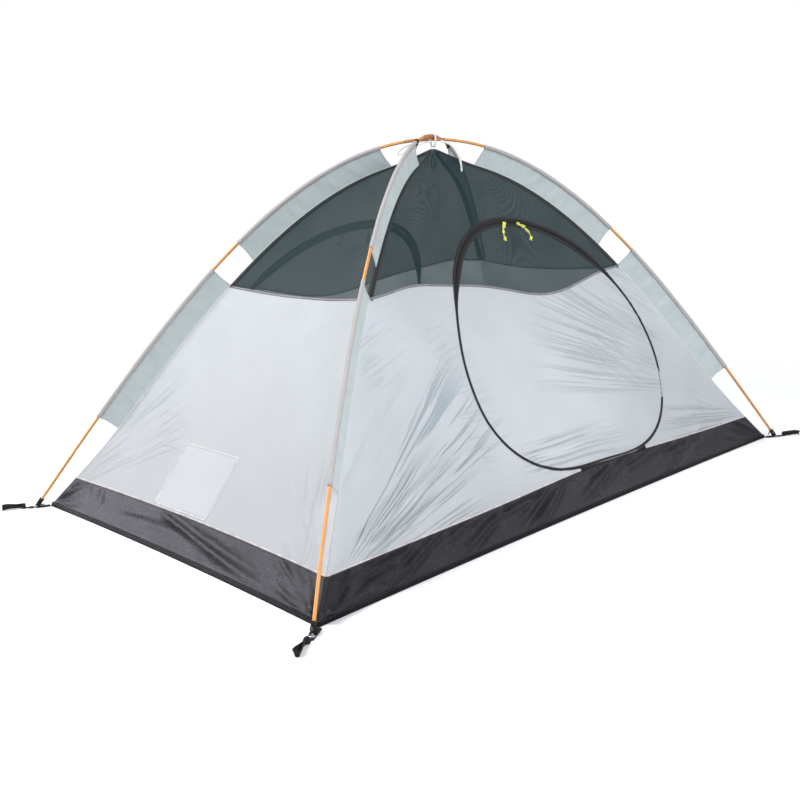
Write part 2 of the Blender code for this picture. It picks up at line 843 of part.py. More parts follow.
def add_corner(corner):
    start, end = strap_start(), REACH + STRAP_PAST
    half = STRAP_HALF
    loop = [(start, -half), (end, -half), (end, half), (start, half)]
    hole = round_hole(REACH, EYELET_R)
    flat_piece(f"corner_strap_{corner}", [loop, hole], corner, 0.0, STRAP_THICK, "webbing")
    near, far = end + GAP, end + GAP + LOOP_LENGTH
    inner_half, outer_half, slot = LOOP_HALF_IN, LOOP_HALF_OUT, LOOP_SLOT_HALF
    loop = [(near, -inner_half), (far - 0.012, -outer_half), (far - 0.003, -outer_half * 0.75)]
    loop += [(far, 0.0)]
    loop += [(far - 0.003, outer_half * 0.75), (far - 0.012, outer_half), (near, inner_half)]
    hole = [(near + 0.016, -slot * 0.6), (far - 0.016, -slot * 1.5), (far - 0.008, 0.0)]
    hole += [(far - 0.016, slot * 1.5), (near + 0.016, slot * 0.6)]
    sign_x, sign_y = CORNERS[corner]
    outward = Vector((sign_x * POLE_FOOT_X, sign_y * POLE_FOOT_Y, 0)) / REACH
    hinge = outward * (end + GAP / 2) + Vector((0, 0, STRAP_THICK))
    name = f"stake_loop_{corner}"
    flat_piece(name, [loop, hole], corner, 0.0, STRAP_THICK, "webbing", hinge)


# ---------------------------------------------------------------- apex


def apex_z():
    return ridge_point(0.0).z


def add_tie():
    """The tape that goes up from the canopy, over both poles and down again."""
    half, base = TIE_HALF, apex_z() + 0.0008
    top = POLE_HEIGHT + CROSSING_LIFT + POLE_R + 0.0012 - half * 0.45
    path = [(-0.0045, base), (-half * 0.95, base + 0.014), (-half, top - 0.004)]
    path += [
        (-half * math.cos(t), top + half * 0.55 * math.sin(t))
        for t in np.linspace(0.25, math.pi - 0.25, 7)
    ]
    path += [(half, top - 0.004), (half * 0.95, base + 0.014), (0.0045, base)]
    points = [Vector((0.0, y, z)) for y, z in path]
    profile = rectangle(TIE_WIDTH, TIE_THICK)
    sweep("apex_tie", points, Vector((1, 0, 0)), lambda k: profile, "tie_tape")


def add_tie_tail():
    """The free end of the tie, which comes forward from the crossing and hangs over the front net."""
    points = []
    for k in range(13):
        t = k / 12
        out = math.sin(math.pi / 2 * t)
        x = 0.014 + 0.041 * out
        y = -0.018 - 0.050 * out
        z = apex_z() + 0.018 + 0.005 * math.sin(math.pi * t) - TAIL_FALL * t**1.6
        points.append(Vector((x, y, z)))
    data = bpy.data.curves.new("apex_tie_tail", "CURVE")
    data.dimensions = "3D"
    data.bevel_depth = TAIL_R
    data.bevel_resolution = 2
    data.use_fill_caps = True
    spline = data.splines.new("POLY")
    spline.points.add(len(points) - 1)
    for place, point in zip(spline.points, points):
        place.co = (*point, 1.0)
    data.materials.append(bpy.data.materials["tie_tape"])
    obj = bpy.data.objects.new("apex_tie_tail", data)
    bpy.context.scene.collection.objects.link(obj)


def add_lantern_loop():
    top = apex_z() - LANTERN_TOP
    low = top - LANTERN_DROP
    path = [(-0.0045, top), (-0.0055, low + 0.010)]
    path += [
        (-0.0055 * math.cos(t), low + 0.0055 - 0.0055 * math.sin(t))
        for t in np.linspace(0.0, math.pi, 7)
    ]
    path += [(0.0055, low + 0.010), (0.0045, top)]
    points = [Vector((0.0, y, z)) for y, z in path]
    profile = rectangle(0.006, 0.001)
    sweep("lantern_loop", points, Vector((1, 0, 0)), lambda k: profile, "webbing")


def hook_axis():
    low = apex_z() - LANTERN_TOP - LANTERN_DROP
    return low + 0.0015 + HOOK_R


def add_hook():
    """A closed hook ring threaded through the lantern loop, hanging from it."""
    axis = hook_axis()
    path = []
    bend = HOOK_HALF
    straight = HOOK_LENGTH - 2 * bend
    for k in range(8):
        t = math.pi * k / 7
        path.append(Vector((bend * math.cos(t), 0.0, axis - bend + bend * math.sin(t))))
    for k in range(8):
        t = math.pi + math.pi * k / 7
        path.append(Vector((bend * math.cos(t), 0.0, axis - bend - straight + bend * math.sin(t))))
    profile = circle(HOOK_R, 8)
    origin = (0.0, 0.0, axis)
    sweep(
        "lantern_hook",
        path,
        Vector((0, 1, 0)),
        lambda k: profile,
        "hook_plastic",
        closed=True,
        smooth=True,
        origin=origin,
    )


def clear_scene():
    for obj in list(bpy.data.objects):
        bpy.data.objects.remove(obj, do_unlink=True)


def build():
    clear_scene()
    make_materials()
    add_tub()
    for name in ("west", "east"):
        add_end(name)
    for name in ("front", "rear"):
        add_long_side(name)
        add_door(name)
        add_zip(name)
        for hand in SLIDER_AT:
            add_slider(name, hand)
            add_pull(name, hand)
    for corner in CORNERS:
        for level in SLEEVES:
            add_sleeve(corner, level)
        add_tip(corner)
        add_corner(corner)
    add_pole("upper", "front_west", "rear_east")
    add_pole("lower", "rear_west", "front_east")
    add_pocket()
    add_tie()
    add_tie_tail()
    add_lantern_loop()
    add_hook()


build()
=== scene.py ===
"""Looks of an inner tent on two crossing poles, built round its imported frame.

Metres, +Z up. u runs from 0 at the poles' crossing to 1 at a foot. On each side of the canopy (a, v) are
metres to the right and up along the cloth, seen from outside, and v is 0 at the apex. The rear side is the
front side turned half a turn about Z, and the east end is the west end turned the same way.
"""

import functools
import json
import math

import bpy
import numpy as np
from mathutils import Matrix, Vector
from mathutils.geometry import delaunay_2d_cdt


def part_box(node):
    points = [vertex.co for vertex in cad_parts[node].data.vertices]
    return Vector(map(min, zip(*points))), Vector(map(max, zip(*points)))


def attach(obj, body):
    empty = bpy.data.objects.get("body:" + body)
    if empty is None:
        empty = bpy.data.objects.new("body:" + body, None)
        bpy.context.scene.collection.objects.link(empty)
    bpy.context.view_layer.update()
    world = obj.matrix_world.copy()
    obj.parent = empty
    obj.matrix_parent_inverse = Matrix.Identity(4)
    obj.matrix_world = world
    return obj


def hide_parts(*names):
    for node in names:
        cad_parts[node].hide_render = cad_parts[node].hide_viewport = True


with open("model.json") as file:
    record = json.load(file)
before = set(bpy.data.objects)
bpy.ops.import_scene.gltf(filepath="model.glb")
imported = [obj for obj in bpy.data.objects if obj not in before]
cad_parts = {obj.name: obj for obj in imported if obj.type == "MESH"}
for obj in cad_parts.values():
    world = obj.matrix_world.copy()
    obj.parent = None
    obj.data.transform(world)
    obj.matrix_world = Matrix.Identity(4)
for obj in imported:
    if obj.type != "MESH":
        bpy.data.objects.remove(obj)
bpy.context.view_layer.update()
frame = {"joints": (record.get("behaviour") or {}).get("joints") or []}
BODY = "tent_body"
CORNERS = {"front_west": (-1, -1), "rear_west": (-1, 1), "front_east": (1, -1), "rear_east": (1, 1)}


def joint(name):
    return next(j for j in frame["joints"] if j["name"] == name)


# The poles, from the stake loops' hinge and the top of the crossing in the frame.
STRAP_PAST = 0.022
GAP = 0.0003
LOOP_HINGE = Vector(joint("stake_loop_rear_east_lift")["pos_m"][:2])
REACH = LOOP_HINGE.length - STRAP_PAST - GAP / 2
POLE_FOOT_X, POLE_FOOT_Y = LOOP_HINGE.normalized() * REACH
POLE_R = 0.00425
CROSSING_LIFT = 0.0048
POLE_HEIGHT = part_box("upper_pole_section_3")[1].z - CROSSING_LIFT - POLE_R

# The canopy's shape repeats the CAD part's, but for the narrower tunnel and zip. Lengths are in metres,
# the door's angles in degrees round its centre, from its right side upwards.
POLE_BOW = 0.032
SEAM_DROP, SEAM_DROP_TOP, SEAM_DROP_FOOT = 0.068, 0.030, 0.0404
LONG_SAG, END_SAG, FLOOR_SAG = 0.045, 0.035, 0.012
APEX_U, MESH_U, TUB_U = 0.008, 0.5525, 0.9445
MESH_DIP_LONG, MESH_DIP_X, MESH_DIP_SPREAD = 0.068, 0.21, 0.24
MESH_RISE, MESH_RISE_X, MESH_RISE_SPREAD = 0.016, -0.38, 0.13
MESH_DIP_END = 0.024
SLEEVES = {"lower": (0.55, 0.839), "upper": (0.137, 0.488)}
TUNNEL_R = 0.0062
TUB_SWELL, TUB_SWELL_X, TUB_SWELL_SPREAD = 0.015, 0.14, 0.40
DOOR_X, DOOR_V, DOOR_R = 0.157, -0.7100, 0.427
DOOR_WAVES = ((2, 0.021, -0.0093), (3, 0.0046, -0.0257), (4, -0.0068, 0.0019))
HINGE_FROM, HINGE_TO = -29.0, -19.0
ZIP_WIDE, ZIP_NARROW, ZIP_GAP = 0.016, 0.0046, 0.0006
GUSSET = (250.0, 299.0)
COIL_CLEAR, TAPE_CLEAR = 3.2, 0.9
SLIDER_AT = {"left": 94.0, "right": 86.5}
PULL_LENGTH = 0.065
TAIL_FALL, TAIL_WIDTH = 0.0917, 0.0062
POCKET = (-0.170, 0.072, -1.366, -1.181)
EYELET_R = 0.0058
LOOP_LENGTH = 0.075
POLE_JOINTS = (-0.99, -0.575, 0.0, 0.575, 0.99)

# Small visible details: how far cloth stays inside a ridge, stitches, the zip's coil, the pull's cord, the
# strap's upper face, half a fin's thickness and its stitches' distance, the tub wall's length to its height.
EDGE_IN = 0.0004
STITCH_WIDTH, STITCH_HEIGHT, STITCH_FILL = 0.0009, 0.0006, 0.68
COIL_PITCH = 0.0024
PULL_WIDTH = 0.0030
STRAP_TOP = 0.0015
WEB_HALF, WEB_STITCH = 0.0005, 0.0009

# How finely things are drawn, in metres, and the floor's radius.
CLOTH_STEP = 0.0075
NET_STEP = 0.014
POCKET_STEP = 0.012
FLOOR_R = 2.7
EDGE_STEP = 0.006
# The material slot and the triangles' size of each cloth.
CLOTHS = {
    "wall_long": ("wall_fabric", CLOTH_STEP),
    "wall_end": ("wall_fabric", CLOTH_STEP),
    "net": ("mesh", NET_STEP),
    "pocket": ("pocket_fabric", POCKET_STEP),
}


# ------------------------------------------------------------------ the canopy's surface


def smooth(low, high, x):
    """0 below low, 1 above high, and an even rise between them."""
    t = np.clip((x - low) / (high - low), 0.0, 1.0)
    return t * t * (3 - 2 * t)


def in_plan(r, u):
    """x and y over +X +Y at a distance r from the crossing, with the pole's sideways bow."""
    bow = 4 * POLE_BOW * u * (1 - u)
    x = (r * POLE_FOOT_X + bow * POLE_FOOT_Y) / REACH
    y = (r * POLE_FOOT_Y - bow * POLE_FOOT_X) / REACH
    return x, y


def pole_line(corner, u):
    """Points on the axis of the pole's leg that stands on this corner."""
    sign_x, sign_y = CORNERS[corner]
    u = np.asarray(u, float)
    x, y = in_plan(REACH * u, u)
    fall = np.cos(math.pi / 2 * u)
    lift = CROSSING_LIFT * sign_x * sign_y * np.abs(fall) ** 8
    return np.stack([sign_x * x, sign_y * y, POLE_HEIGHT * fall + lift], -1)


def ridge(u):
    """The canopy's ridge seam over +X +Y, below the pole: x, y and z."""
    u = np.asarray(u, float)
    top, foot = np.maximum(0, 1 - u / 0.15), np.maximum(0, (u - 0.8) / 0.2)
    drop = SEAM_DROP - (SEAM_DROP - SEAM_DROP_TOP) * top**2 - (SEAM_DROP - SEAM_DROP_FOOT) * foot**2
    slope = POLE_HEIGHT * math.pi / 2 / REACH * np.sin(math.pi / 2 * u)
    length = np.hypot(slope, 1)
    out, down = -slope / length * (1 - foot) - foot, -1 / length * (1 - foot)
    length = np.hypot(out, down)
    x, y = in_plan(REACH * u + drop * out / length, u)
    z = POLE_HEIGHT * np.cos(math.pi / 2 * u) + drop * down / length
    return x, y, np.maximum(z, 0)


def ridge_line(corner, u):
    """Points on the ridge seam below the pole's leg that stands on this corner."""
    sign_x, sign_y = CORNERS[corner]
    x, y, z = ridge(u)
    return np.stack([sign_x * x, sign_y * y, z], -1)


class Side:
    """One side of the canopy, with the folds that tension draws in its cloth."""

    def __init__(self, name):
        self.long = name in ("front", "rear")
        self.turn = -1 if name in ("rear", "east") else 1
        self.folds = []
        self.table_u = np.linspace(0.0, 1.0, 2001)
        middle = self.at(0 * self.table_u, self.table_u)
        steps = np.linalg.norm(np.diff(middle, axis=0), axis=1)
        self.table_v = -np.concatenate([[0.0], np.cumsum(steps)])
        self.mesh_v = float(self.v_of(MESH_U))
        self.tub_v = float(self.v_of(TUB_U))
        self.ground_v = float(self.table_v[-1])

    def at(self, s, u):
        """The smooth cloth, s from -1 to 1 across it."""
        x, y, z = ridge(u)
        half, depth = (x, y) if self.long else (y, x)
        most = LONG_SAG if self.long else END_SAG
        sag = most * np.maximum(0, np.sin(math.pi * u)) ** 0.8 + FLOOR_SAG * u
        depth = depth - sag * (1 - s * s)
        x, y = (s * half, -depth) if self.long else (-depth, -s * half)
        return np.stack([x * self.turn, y * self.turn, z], -1)

    def half(self, u):
        """Half the cloth's width at u."""
        x, y, _ = ridge(u)
        return x if self.long else y

    def u_of(self, v):
        return np.interp(-np.asarray(v, float), -self.table_v, self.table_u)

    def v_of(self, u):
        return np.interp(u, self.table_u, self.table_v)

    def base(self, a, v):
        """Points on the smooth cloth."""
        u = self.u_of(v)
        return self.at(a / np.maximum(self.half(u), 1e-4), u)

    def normal(self, a, v):
        step = 0.003
        right = self.base(a + step, v) - self.base(a - step, v)
        up = self.base(a, v + step) - self.base(a, v - step)
        out = np.cross(right, up)
        return out / np.maximum(np.linalg.norm(out, axis=-1, keepdims=True), 1e-12)

    def mesh_line(self, a):
        """The height v where net and fabric meet."""
        a = np.asarray(a, float)
        s = a / self.half(MESH_U)
        if not self.long:
            return self.mesh_v - MESH_DIP_END * np.maximum(0.0, 1 - s * s)
        dip = MESH_DIP_LONG * np.exp(-(((a - MESH_DIP_X) / MESH_DIP_SPREAD) ** 2))
        rise = MESH_RISE * np.exp(-(((a - MESH_RISE_X) / MESH_RISE_SPREAD) ** 2))
        fade = np.where(np.abs(s) < 1, 1 - s**8, 1.0)
        return self.mesh_v + (rise - dip) * fade

    def tub_line(self, a):
        """The height v where the tub starts, which swells up below the door."""
        a = np.asarray(a, float)
        if not self.long:
            return self.tub_v + 0 * a
        fade = np.clip(1 - (a / self.half(TUB_U)) ** 4, 0.0, 1.0)
        return self.tub_v + TUB_SWELL * np.exp(-(((a - TUB_SWELL_X) / TUB_SWELL_SPREAD) ** 2)) * fade

    def relief(self, a, v):
        """How far the cloth stands out of its smooth shape: folds, faded towards the seams."""
        total = 0.0016 * np.sin(17 * a + 5 * v + 1.3) * np.sin(13 * v - 6 * a)
        total += 0.0012 * np.sin(31 * v + 9 * a) * np.sin(23 * a - 4 * v + 2.0)
        for fold in self.folds:
            total += fold_height(fold, a, v)
        u = self.u_of(v)
        fade = smooth(0.0, 0.028, self.half(u) - np.abs(a))
        fade *= 1 - 0.85 * smooth(-0.016, 0.012, v - self.mesh_line(a))
        fade *= 1 - 0.6 * np.exp(-(((v - self.tub_line(a)) / 0.010) ** 2))
        fade *= smooth(0.0, 0.030, v - self.ground_v)
        if self.long:
            fade *= 0.30 + 0.70 * smooth(0.006, 0.024, np.abs(self.from_zip(a, v)))
        return total * fade

    def from_zip(self, a, v):
        """Distance outwards from the zip's line."""
        angle = np.degrees(np.arctan2(v - DOOR_V, a - DOOR_X))
        return np.hypot(a - DOOR_X, v - DOOR_V) - door_radius(angle)

    def skin(self, a, v, lift=0.0):
        """Points on the cloth, lift outside it."""
        a, v = np.asarray(a, float), np.asarray(v, float)
        height = self.relief(a, v) + lift
        return self.base(a, v) + self.normal(a, v) * height[..., None]

    # Edges of panels, as lists of (a, v).

    def ridge_edge(self, sign, low, high):
        count = max(3, round(abs(high - low) * 1.5 / EDGE_STEP))
        u = np.linspace(low, high, count)
        return list(zip(sign * (self.half(u) - EDGE_IN), self.v_of(u)))

    def seam_edge(self, start, end, off):
        a = np.linspace(start, end, max(3, round(abs(end - start) / EDGE_STEP)))
        return list(zip(a, self.mesh_line(a) + off))

    def tub_edge(self, start, end, off=GAP):
        a = np.linspace(start, end, max(3, round(abs(end - start) / EDGE_STEP)))
        return list(zip(a, self.tub_line(a) + off))


def door_radius(angle):
    """From the door's centre to the zip's line, as a circle with waves."""
    turn = np.radians(angle)
    return DOOR_R + sum(c * np.cos(n * turn) + s * np.sin(n * turn) for n, c, s in DOOR_WAVES)


def zip_half(angle):
    """Half the zip's width: none on the sewn hinge, wide over the net, narrow below it."""
    angle = (np.asarray(angle, float) + 180.0) % 360.0 - 180.0
    over = smooth(22.0, 50.0, angle) * (1 - smooth(138.0, 160.0, angle))
    half = ZIP_NARROW + (ZIP_WIDE - ZIP_NARROW) * over
    return np.where((angle >= HINGE_FROM) & (angle <= HINGE_TO), 0.0, half)


def outline(angle, off):
    """(a, v) on the zip's line, moved off outwards."""
    turn = np.radians(angle)
    r = door_radius(angle) + off
    return DOOR_X + r * np.cos(turn), DOOR_V + r * np.sin(turn)


def hole_off(angle):
    """How far outside the zip's line the wall's cloth ends."""
    return zip_half(angle) * 0.8 + ZIP_GAP


def leaf_off(angle):
    """The same for the door's cloth, inside the line."""
    return -zip_half(angle) * 0.8 - ZIP_GAP


def arc(start, end, off):
    """Part of that edge of the hole or the door, as (a, v)."""
    count = max(3, round(abs(end - start) * math.pi / 180 * DOOR_R / EDGE_STEP))
    angle = np.linspace(start, end, count)
    return list(zip(*outline(angle, off(angle))))


def cut(test, low, high):
    """The angle between low and high where test changes sign."""
    start = test(low)
    for _ in range(50):
        middle = (low + high) / 2
        low, high = (middle, high) if test(middle) * start > 0 else (low, middle)
    return low


def seam_angles(side, off, rise=0.0):
    """Where the outline of the hole or the door crosses the net's seam: on the left and on the right."""

    def above(angle):
        a, v = outline(angle, off(angle))
        return v - side.mesh_line(a) - rise

    return cut(above, 100.0, 200.0), cut(above, 10.0, 80.0)


def tub_angle(side, low, high):
    """Where the hole's outline meets the tub."""

    def above(angle):
        a, v = outline(angle, hole_off(angle))
        return v - side.tub_line(a) - 0.0015

    return cut(above, low, high)


# ------------------------------------------------------------------ folds in the cloth


def fold_height(fold, a, v):
    """One fold: a crest with a trough beside it, along a bent line that widens as it fades."""
    (start_a, start_v), angle, length, width, height, bend = fold
    along = (a - start_a) * math.cos(angle) + (v - start_v) * math.sin(angle)
    across = (v - start_v) * math.cos(angle) - (a - start_a) * math.sin(angle)
    t = np.clip(along / length, 0.0, 1.0)
    across = across - bend * length * t * t
    w = width * (0.45 + 0.55 * t)
    profile = np.exp(-((across / w) ** 2)) - 0.7 * np.exp(-(((across - 1.5 * w) / w) ** 2))
    ends = smooth(0.0, 0.12, along / length) * (1 - smooth(0.55, 1.0, along / length))
    return height * profile * ends


def fan(side, focus, angles, count, reach, width, height, seed, start=0.0):
    """Folds that spread from one point."""
    draw = np.random.default_rng(seed)
    for k in range(count):
        turn = math.radians(angles[0] + (angles[1] - angles[0]) * (k + 0.7 * draw.random()) / count)
        length = reach * (0.55 + 0.45 * draw.random())
        away = start * (0.7 + 0.6 * draw.random())
        origin = (focus[0] + away * math.cos(turn), focus[1] + away * math.sin(turn))
        size = 0.55 + 0.45 * draw.random()
        thick = width * (0.7 + 0.5 * draw.random())
        bend = 0.08 * (draw.random() - 0.5)
        side.folds.append((origin, turn, length, thick, height * size, bend))


def comb(side, start, end, angle, count, reach, width, height, seed, jitter=6.0):
    """Folds beside each other that start along a line."""
    draw = np.random.default_rng(seed)
    for k in range(count):
        t = (k + 0.8 * draw.random()) / count
        origin = (start[0] + (end[0] - start[0]) * t, start[1] + (end[1] - start[1]) * t)
        turn = math.radians(angle + jitter * (2 * draw.random() - 1))
        length = reach * (0.5 + 0.5 * draw.random())
        size = 0.5 + 0.5 * draw.random()
        thick = width * (0.7 + 0.6 * draw.random())
        bend = 0.10 * (draw.random() - 0.5)
        side.folds.append((origin, turn, length, thick, height * size, bend))


def fold_long_side(side, seed):
    """The long sides: strong folds from the left corner, fine ones into the door's sewn edge."""
    half, tub = float(side.half(TUB_U)), side.tub_v
    hinge = outline((HINGE_FROM + HINGE_TO) / 2, 0.0)
    fan(side, (-half + 0.02, tub), (7, 27), 8, 0.80, 0.017, 0.0060, seed, start=0.08)
    fan(side, (-half + 0.03, tub + 0.09), (27, 42), 6, 0.62, 0.012, 0.0042, seed + 1, start=0.12)
    comb(side, (-0.66, -0.50), (-0.70, -0.72), 42, 12, 0.12, 0.0065, 0.0022, seed + 2)
    comb(side, (-0.29, -0.50), (-0.37, -0.84), 183, 12, 0.12, 0.0070, 0.0018, seed + 3)
    comb(side, (-0.33, -0.72), (-0.27, -0.92), 214, 6, 0.16, 0.0085, 0.0026, seed + 4)
    fan(side, hinge, (134, 178), 20, 0.62, 0.0078, 0.0025, seed + 5, start=0.05)
    comb(side, (0.40, -0.56), (0.60, -0.58), -36, 9, 0.42, 0.0080, 0.0024, seed + 6)
    comb(side, (-0.22, -0.98), (-0.17, -1.08), -2, 5, 0.66, 0.0150, 0.0055, seed + 7, 3.0)
    comb(side, (0.62, -1.09), (0.93, -1.09), 118, 8, 0.17, 0.0080, 0.0028, seed + 8)
    fan(side, (half - 0.02, tub), (140, 166), 6, 0.34, 0.0090, 0.0030, seed + 9, start=0.05)
    low, foot = float(side.half(1.0)), side.ground_v + 0.010
    fan(side, (-low + 0.01, foot), (6, 46), 7, 0.30, 0.0120, 0.0110, seed + 10)
    fan(side, (low - 0.01, foot), (140, 172), 4, 0.30, 0.0120, 0.0080, seed + 13)
    fan(side, (-low + 0.012, foot), (10, 72), 15, 0.24, 0.0058, 0.0062, seed + 14)
    comb(side, (-0.80, tub + 0.010), (0.80, tub + 0.020), -152, 9, 0.34, 0.0130, 0.0120, seed + 11, 12.0)
    comb(side, (-0.95, tub - 0.030), (0.55, tub - 0.030), 9, 7, 0.46, 0.0120, 0.0095, seed + 12, 8.0)


def fold_end_side(side, seed):
    """The short ends: finer folds, and a long crease along the tub."""
    half, tub = float(side.half(TUB_U)), side.tub_v
    fan(side, (-half + 0.01, tub), (34, 76), 12, 0.46, 0.0075, 0.0022, seed, start=0.04)
    comb(side, (-0.34, -1.17), (-0.30, -1.33), 2, 6, 0.13, 0.0070, 0.0018, seed + 1)
    comb(side, (0.30, tub + 0.01), (0.55, tub + 0.01), 98, 10, 0.17, 0.0070, 0.0020, seed + 2)
    comb(side, (-0.25, -0.74), (0.25, -0.74), -88, 9, 0.10, 0.0080, 0.0015, seed + 3)
    fan(side, (half - 0.01, tub), (112, 150), 8, 0.36, 0.0080, 0.0022, seed + 4, start=0.04)
    low, foot = float(side.half(1.0)), side.ground_v + 0.010
    fan(side, (low - 0.005, foot), (138, 172), 6, 0.34, 0.0110, 0.0120, seed + 5)
    fan(side, (-low + 0.005, foot), (8, 62), 6, 0.17, 0.0090, 0.0095, seed + 6)
    side.folds.append(((-0.15, tub - 0.006), math.radians(-11.0), 0.62, 0.0150, -0.0120, 0.05))
    side.folds.append(((-0.30, tub - 0.060), math.radians(3.0), 0.50, 0.0200, 0.0040, -0.03))
    comb(side, (-0.52, tub - 0.004), (-0.38, tub - 0.004), -55, 3, 0.08, 0.0080, 0.0050, seed + 7, 12.0)


SIDES = {name: Side(name) for name in ("front", "rear", "west", "east")}
fold_long_side(SIDES["front"], 10)
fold_long_side(SIDES["rear"], 40)
fold_end_side(SIDES["west"], 70)
fold_end_side(SIDES["east"], 90)


# ------------------------------------------------------------------ materials


class Paint:
    """A material under construction, with short calls for its nodes."""

    def __init__(self, name, colour, roughness, **sockets):
        self.material = bpy.data.materials.new(name)
        self.material.use_nodes = True
        self.nodes, self.links = self.material.node_tree.nodes, self.material.node_tree.links
        self.shader = self.nodes["Principled BSDF"]
        self.colour, self.roughness = colour, roughness
        self.material.diffuse_color = (*colour, 1.0)
        self.wire(Base_Color=(*colour, 1.0), Roughness=roughness, **sockets)

    def put(self, socket, value):
        """A link or a plain value into a socket."""
        if isinstance(value, bpy.types.NodeSocket):
            self.links.new(value, socket)
        else:
            socket.default_value = value

    def wire(self, **values):
        """Links or values into the shader's sockets, with _ for the spaces in their names."""
        for name, value in values.items():
            self.put(self.shader.inputs[name.replace("_", " ")], value)

    def node(self, kind, inputs=(), **settings):
        made = self.nodes.new(kind)
        for key, value in settings.items():
            setattr(made, key, value)
        for key, value in dict(inputs).items():
            self.put(made.inputs[key], value)
        return made

    def cloth_uv(self):
        return self.node("ShaderNodeUVMap", uv_map="cloth").outputs["UV"]

    def place(self):
        return self.node("ShaderNodeTexCoord").outputs["Object"]

    def stretch(self, vector, scale, turn=0.0):
        inputs = {"Vector": vector, "Scale": scale, "Rotation": (0.0, 0.0, turn)}
        return self.node("ShaderNodeMapping", inputs).outputs["Vector"]

    def noise(self, vector, scale, detail=3.0, rough=0.5):
        inputs = {"Vector": vector, "Scale": scale, "Detail": detail, "Roughness": rough}
        return self.node("ShaderNodeTexNoise", inputs).outputs["Fac"]

    def bands(self, vector, period, direction="X"):
        """A sine wave of this period, from 0 to 1, across one axis of the vector."""
        inputs = {"Vector": vector, "Scale": math.pi / 10 / period}
        made = self.node("ShaderNodeTexWave", inputs, wave_type="BANDS", bands_direction=direction)
        return made.outputs["Fac"]

    def math(self, operation, *values, clamp=False):
        made = self.node("ShaderNodeMath", enumerate(values), operation=operation, use_clamp=clamp)
        return made.outputs[0]

    def spread(self, value, low, high, to_low=0.0, to_high=1.0):
        inputs = {"Value": value, "From Min": low, "From Max": high, "To Min": to_low, "To Max": to_high}
        return self.node("ShaderNodeMapRange", inputs, clamp=True).outputs["Result"]

    def mix(self, factor, low, high):
        return self.node("ShaderNodeMix", {0: factor, 6: low, 7: high}, data_type="RGBA").outputs[2]

    def tint(self, factor, dark, light):
        """The paint's own colour, times dark to times light by the factor."""
        return self.mix(factor, *((*(part * k for part in self.colour), 1.0) for k in (dark, light)))

    def gloss(self, value, low, high, less, more):
        """The paint's own roughness, varied with the value."""
        return self.spread(value, low, high, self.roughness - less, self.roughness + more)

    def bump(self, height, distance, strength=1.0, under=None):
        inputs = {"Height": height, "Distance": distance, "Strength": strength}
        if under is not None:
            inputs["Normal"] = under
        return self.node("ShaderNodeBump", inputs).outputs["Normal"]

    def surface(self, factor, first, second):
        """The material's surface: from the first shader to the second by the factor."""
        mixed = self.node("ShaderNodeMixShader", {0: factor, 1: first.outputs[0], 2: second.outputs[0]})
        self.links.new(mixed.outputs[0], self.nodes["Material Output"].inputs["Surface"])

    def glow(self, share, normal, colour):
        """Lets a share of the light from behind shine through."""
        behind = self.node("ShaderNodeBsdfTranslucent", {"Normal": normal, "Color": colour})
        self.surface(share, self.shader, behind)

    def veil(self, cover):
        """Shows what is behind wherever the cover is below 1."""
        self.surface(cover, self.node("ShaderNodeBsdfTransparent"), self.shader)


def weave(paint, vector, square, sharp, square_depth, strength, thread, depth, under):
    """A grid of thicker threads over fine threads that cross, as bump."""
    grid = paint.math("MAXIMUM", paint.bands(vector, square, "X"), paint.bands(vector, square, "Y"))
    grid = paint.bump(paint.math("POWER", grid, sharp), square_depth, strength, under)
    fine = paint.math("MULTIPLY", paint.bands(vector, thread, "X"), paint.bands(vector, thread, "Y"))
    return paint.bump(fine, depth, 0.6, grid)


def strokes(paint, vector, fold_fan):
    """Narrow tension folds that radiate from a point of the cloth, for bump and painted shade: 1 on a fold, 0
    beside it.
    """
    focus, turn, spread, near, far, pitch, lengthwise, seed, share, strength = fold_fan
    from_focus = {0: vector, 1: (*focus, 0.0)}
    off = paint.node("ShaderNodeVectorMath", from_focus, operation="SUBTRACT").outputs[0]
    ahead = {"Vector": off, "Angle": -turn}
    turned = paint.node("ShaderNodeVectorRotate", ahead, rotation_type="Z_AXIS").outputs[0]
    parts = paint.node("ShaderNodeSeparateXYZ", {"Vector": turned}).outputs
    angle = paint.math("ARCTAN2", parts["Y"], parts["X"])
    reach = paint.node("ShaderNodeVectorMath", {0: off}, operation="LENGTH").outputs["Value"]
    wander = paint.math("MULTIPLY_ADD", paint.noise(vector, 5.0, 1.0), 1.6, seed)
    across = paint.math("MULTIPLY_ADD", angle, 1.0 / pitch, wander)
    lines = paint.node("ShaderNodeCombineXYZ", {"X": across, "Y": paint.math("MULTIPLY", reach, lengthwise)})
    mask = paint.spread(paint.noise(lines.outputs["Vector"], 1.0, 1.0), share, share + 0.06, 0.0, strength)
    beside = paint.spread(paint.math("ABSOLUTE", angle), spread * 0.75, spread, 1.0, 0.0)
    start, end = paint.spread(reach, near, near + 0.08), paint.spread(reach, far * 0.8, far, 1.0, 0.0)
    for fade in (beside, start, end):
        mask = paint.math("MULTIPLY", mask, fade)
    return mask


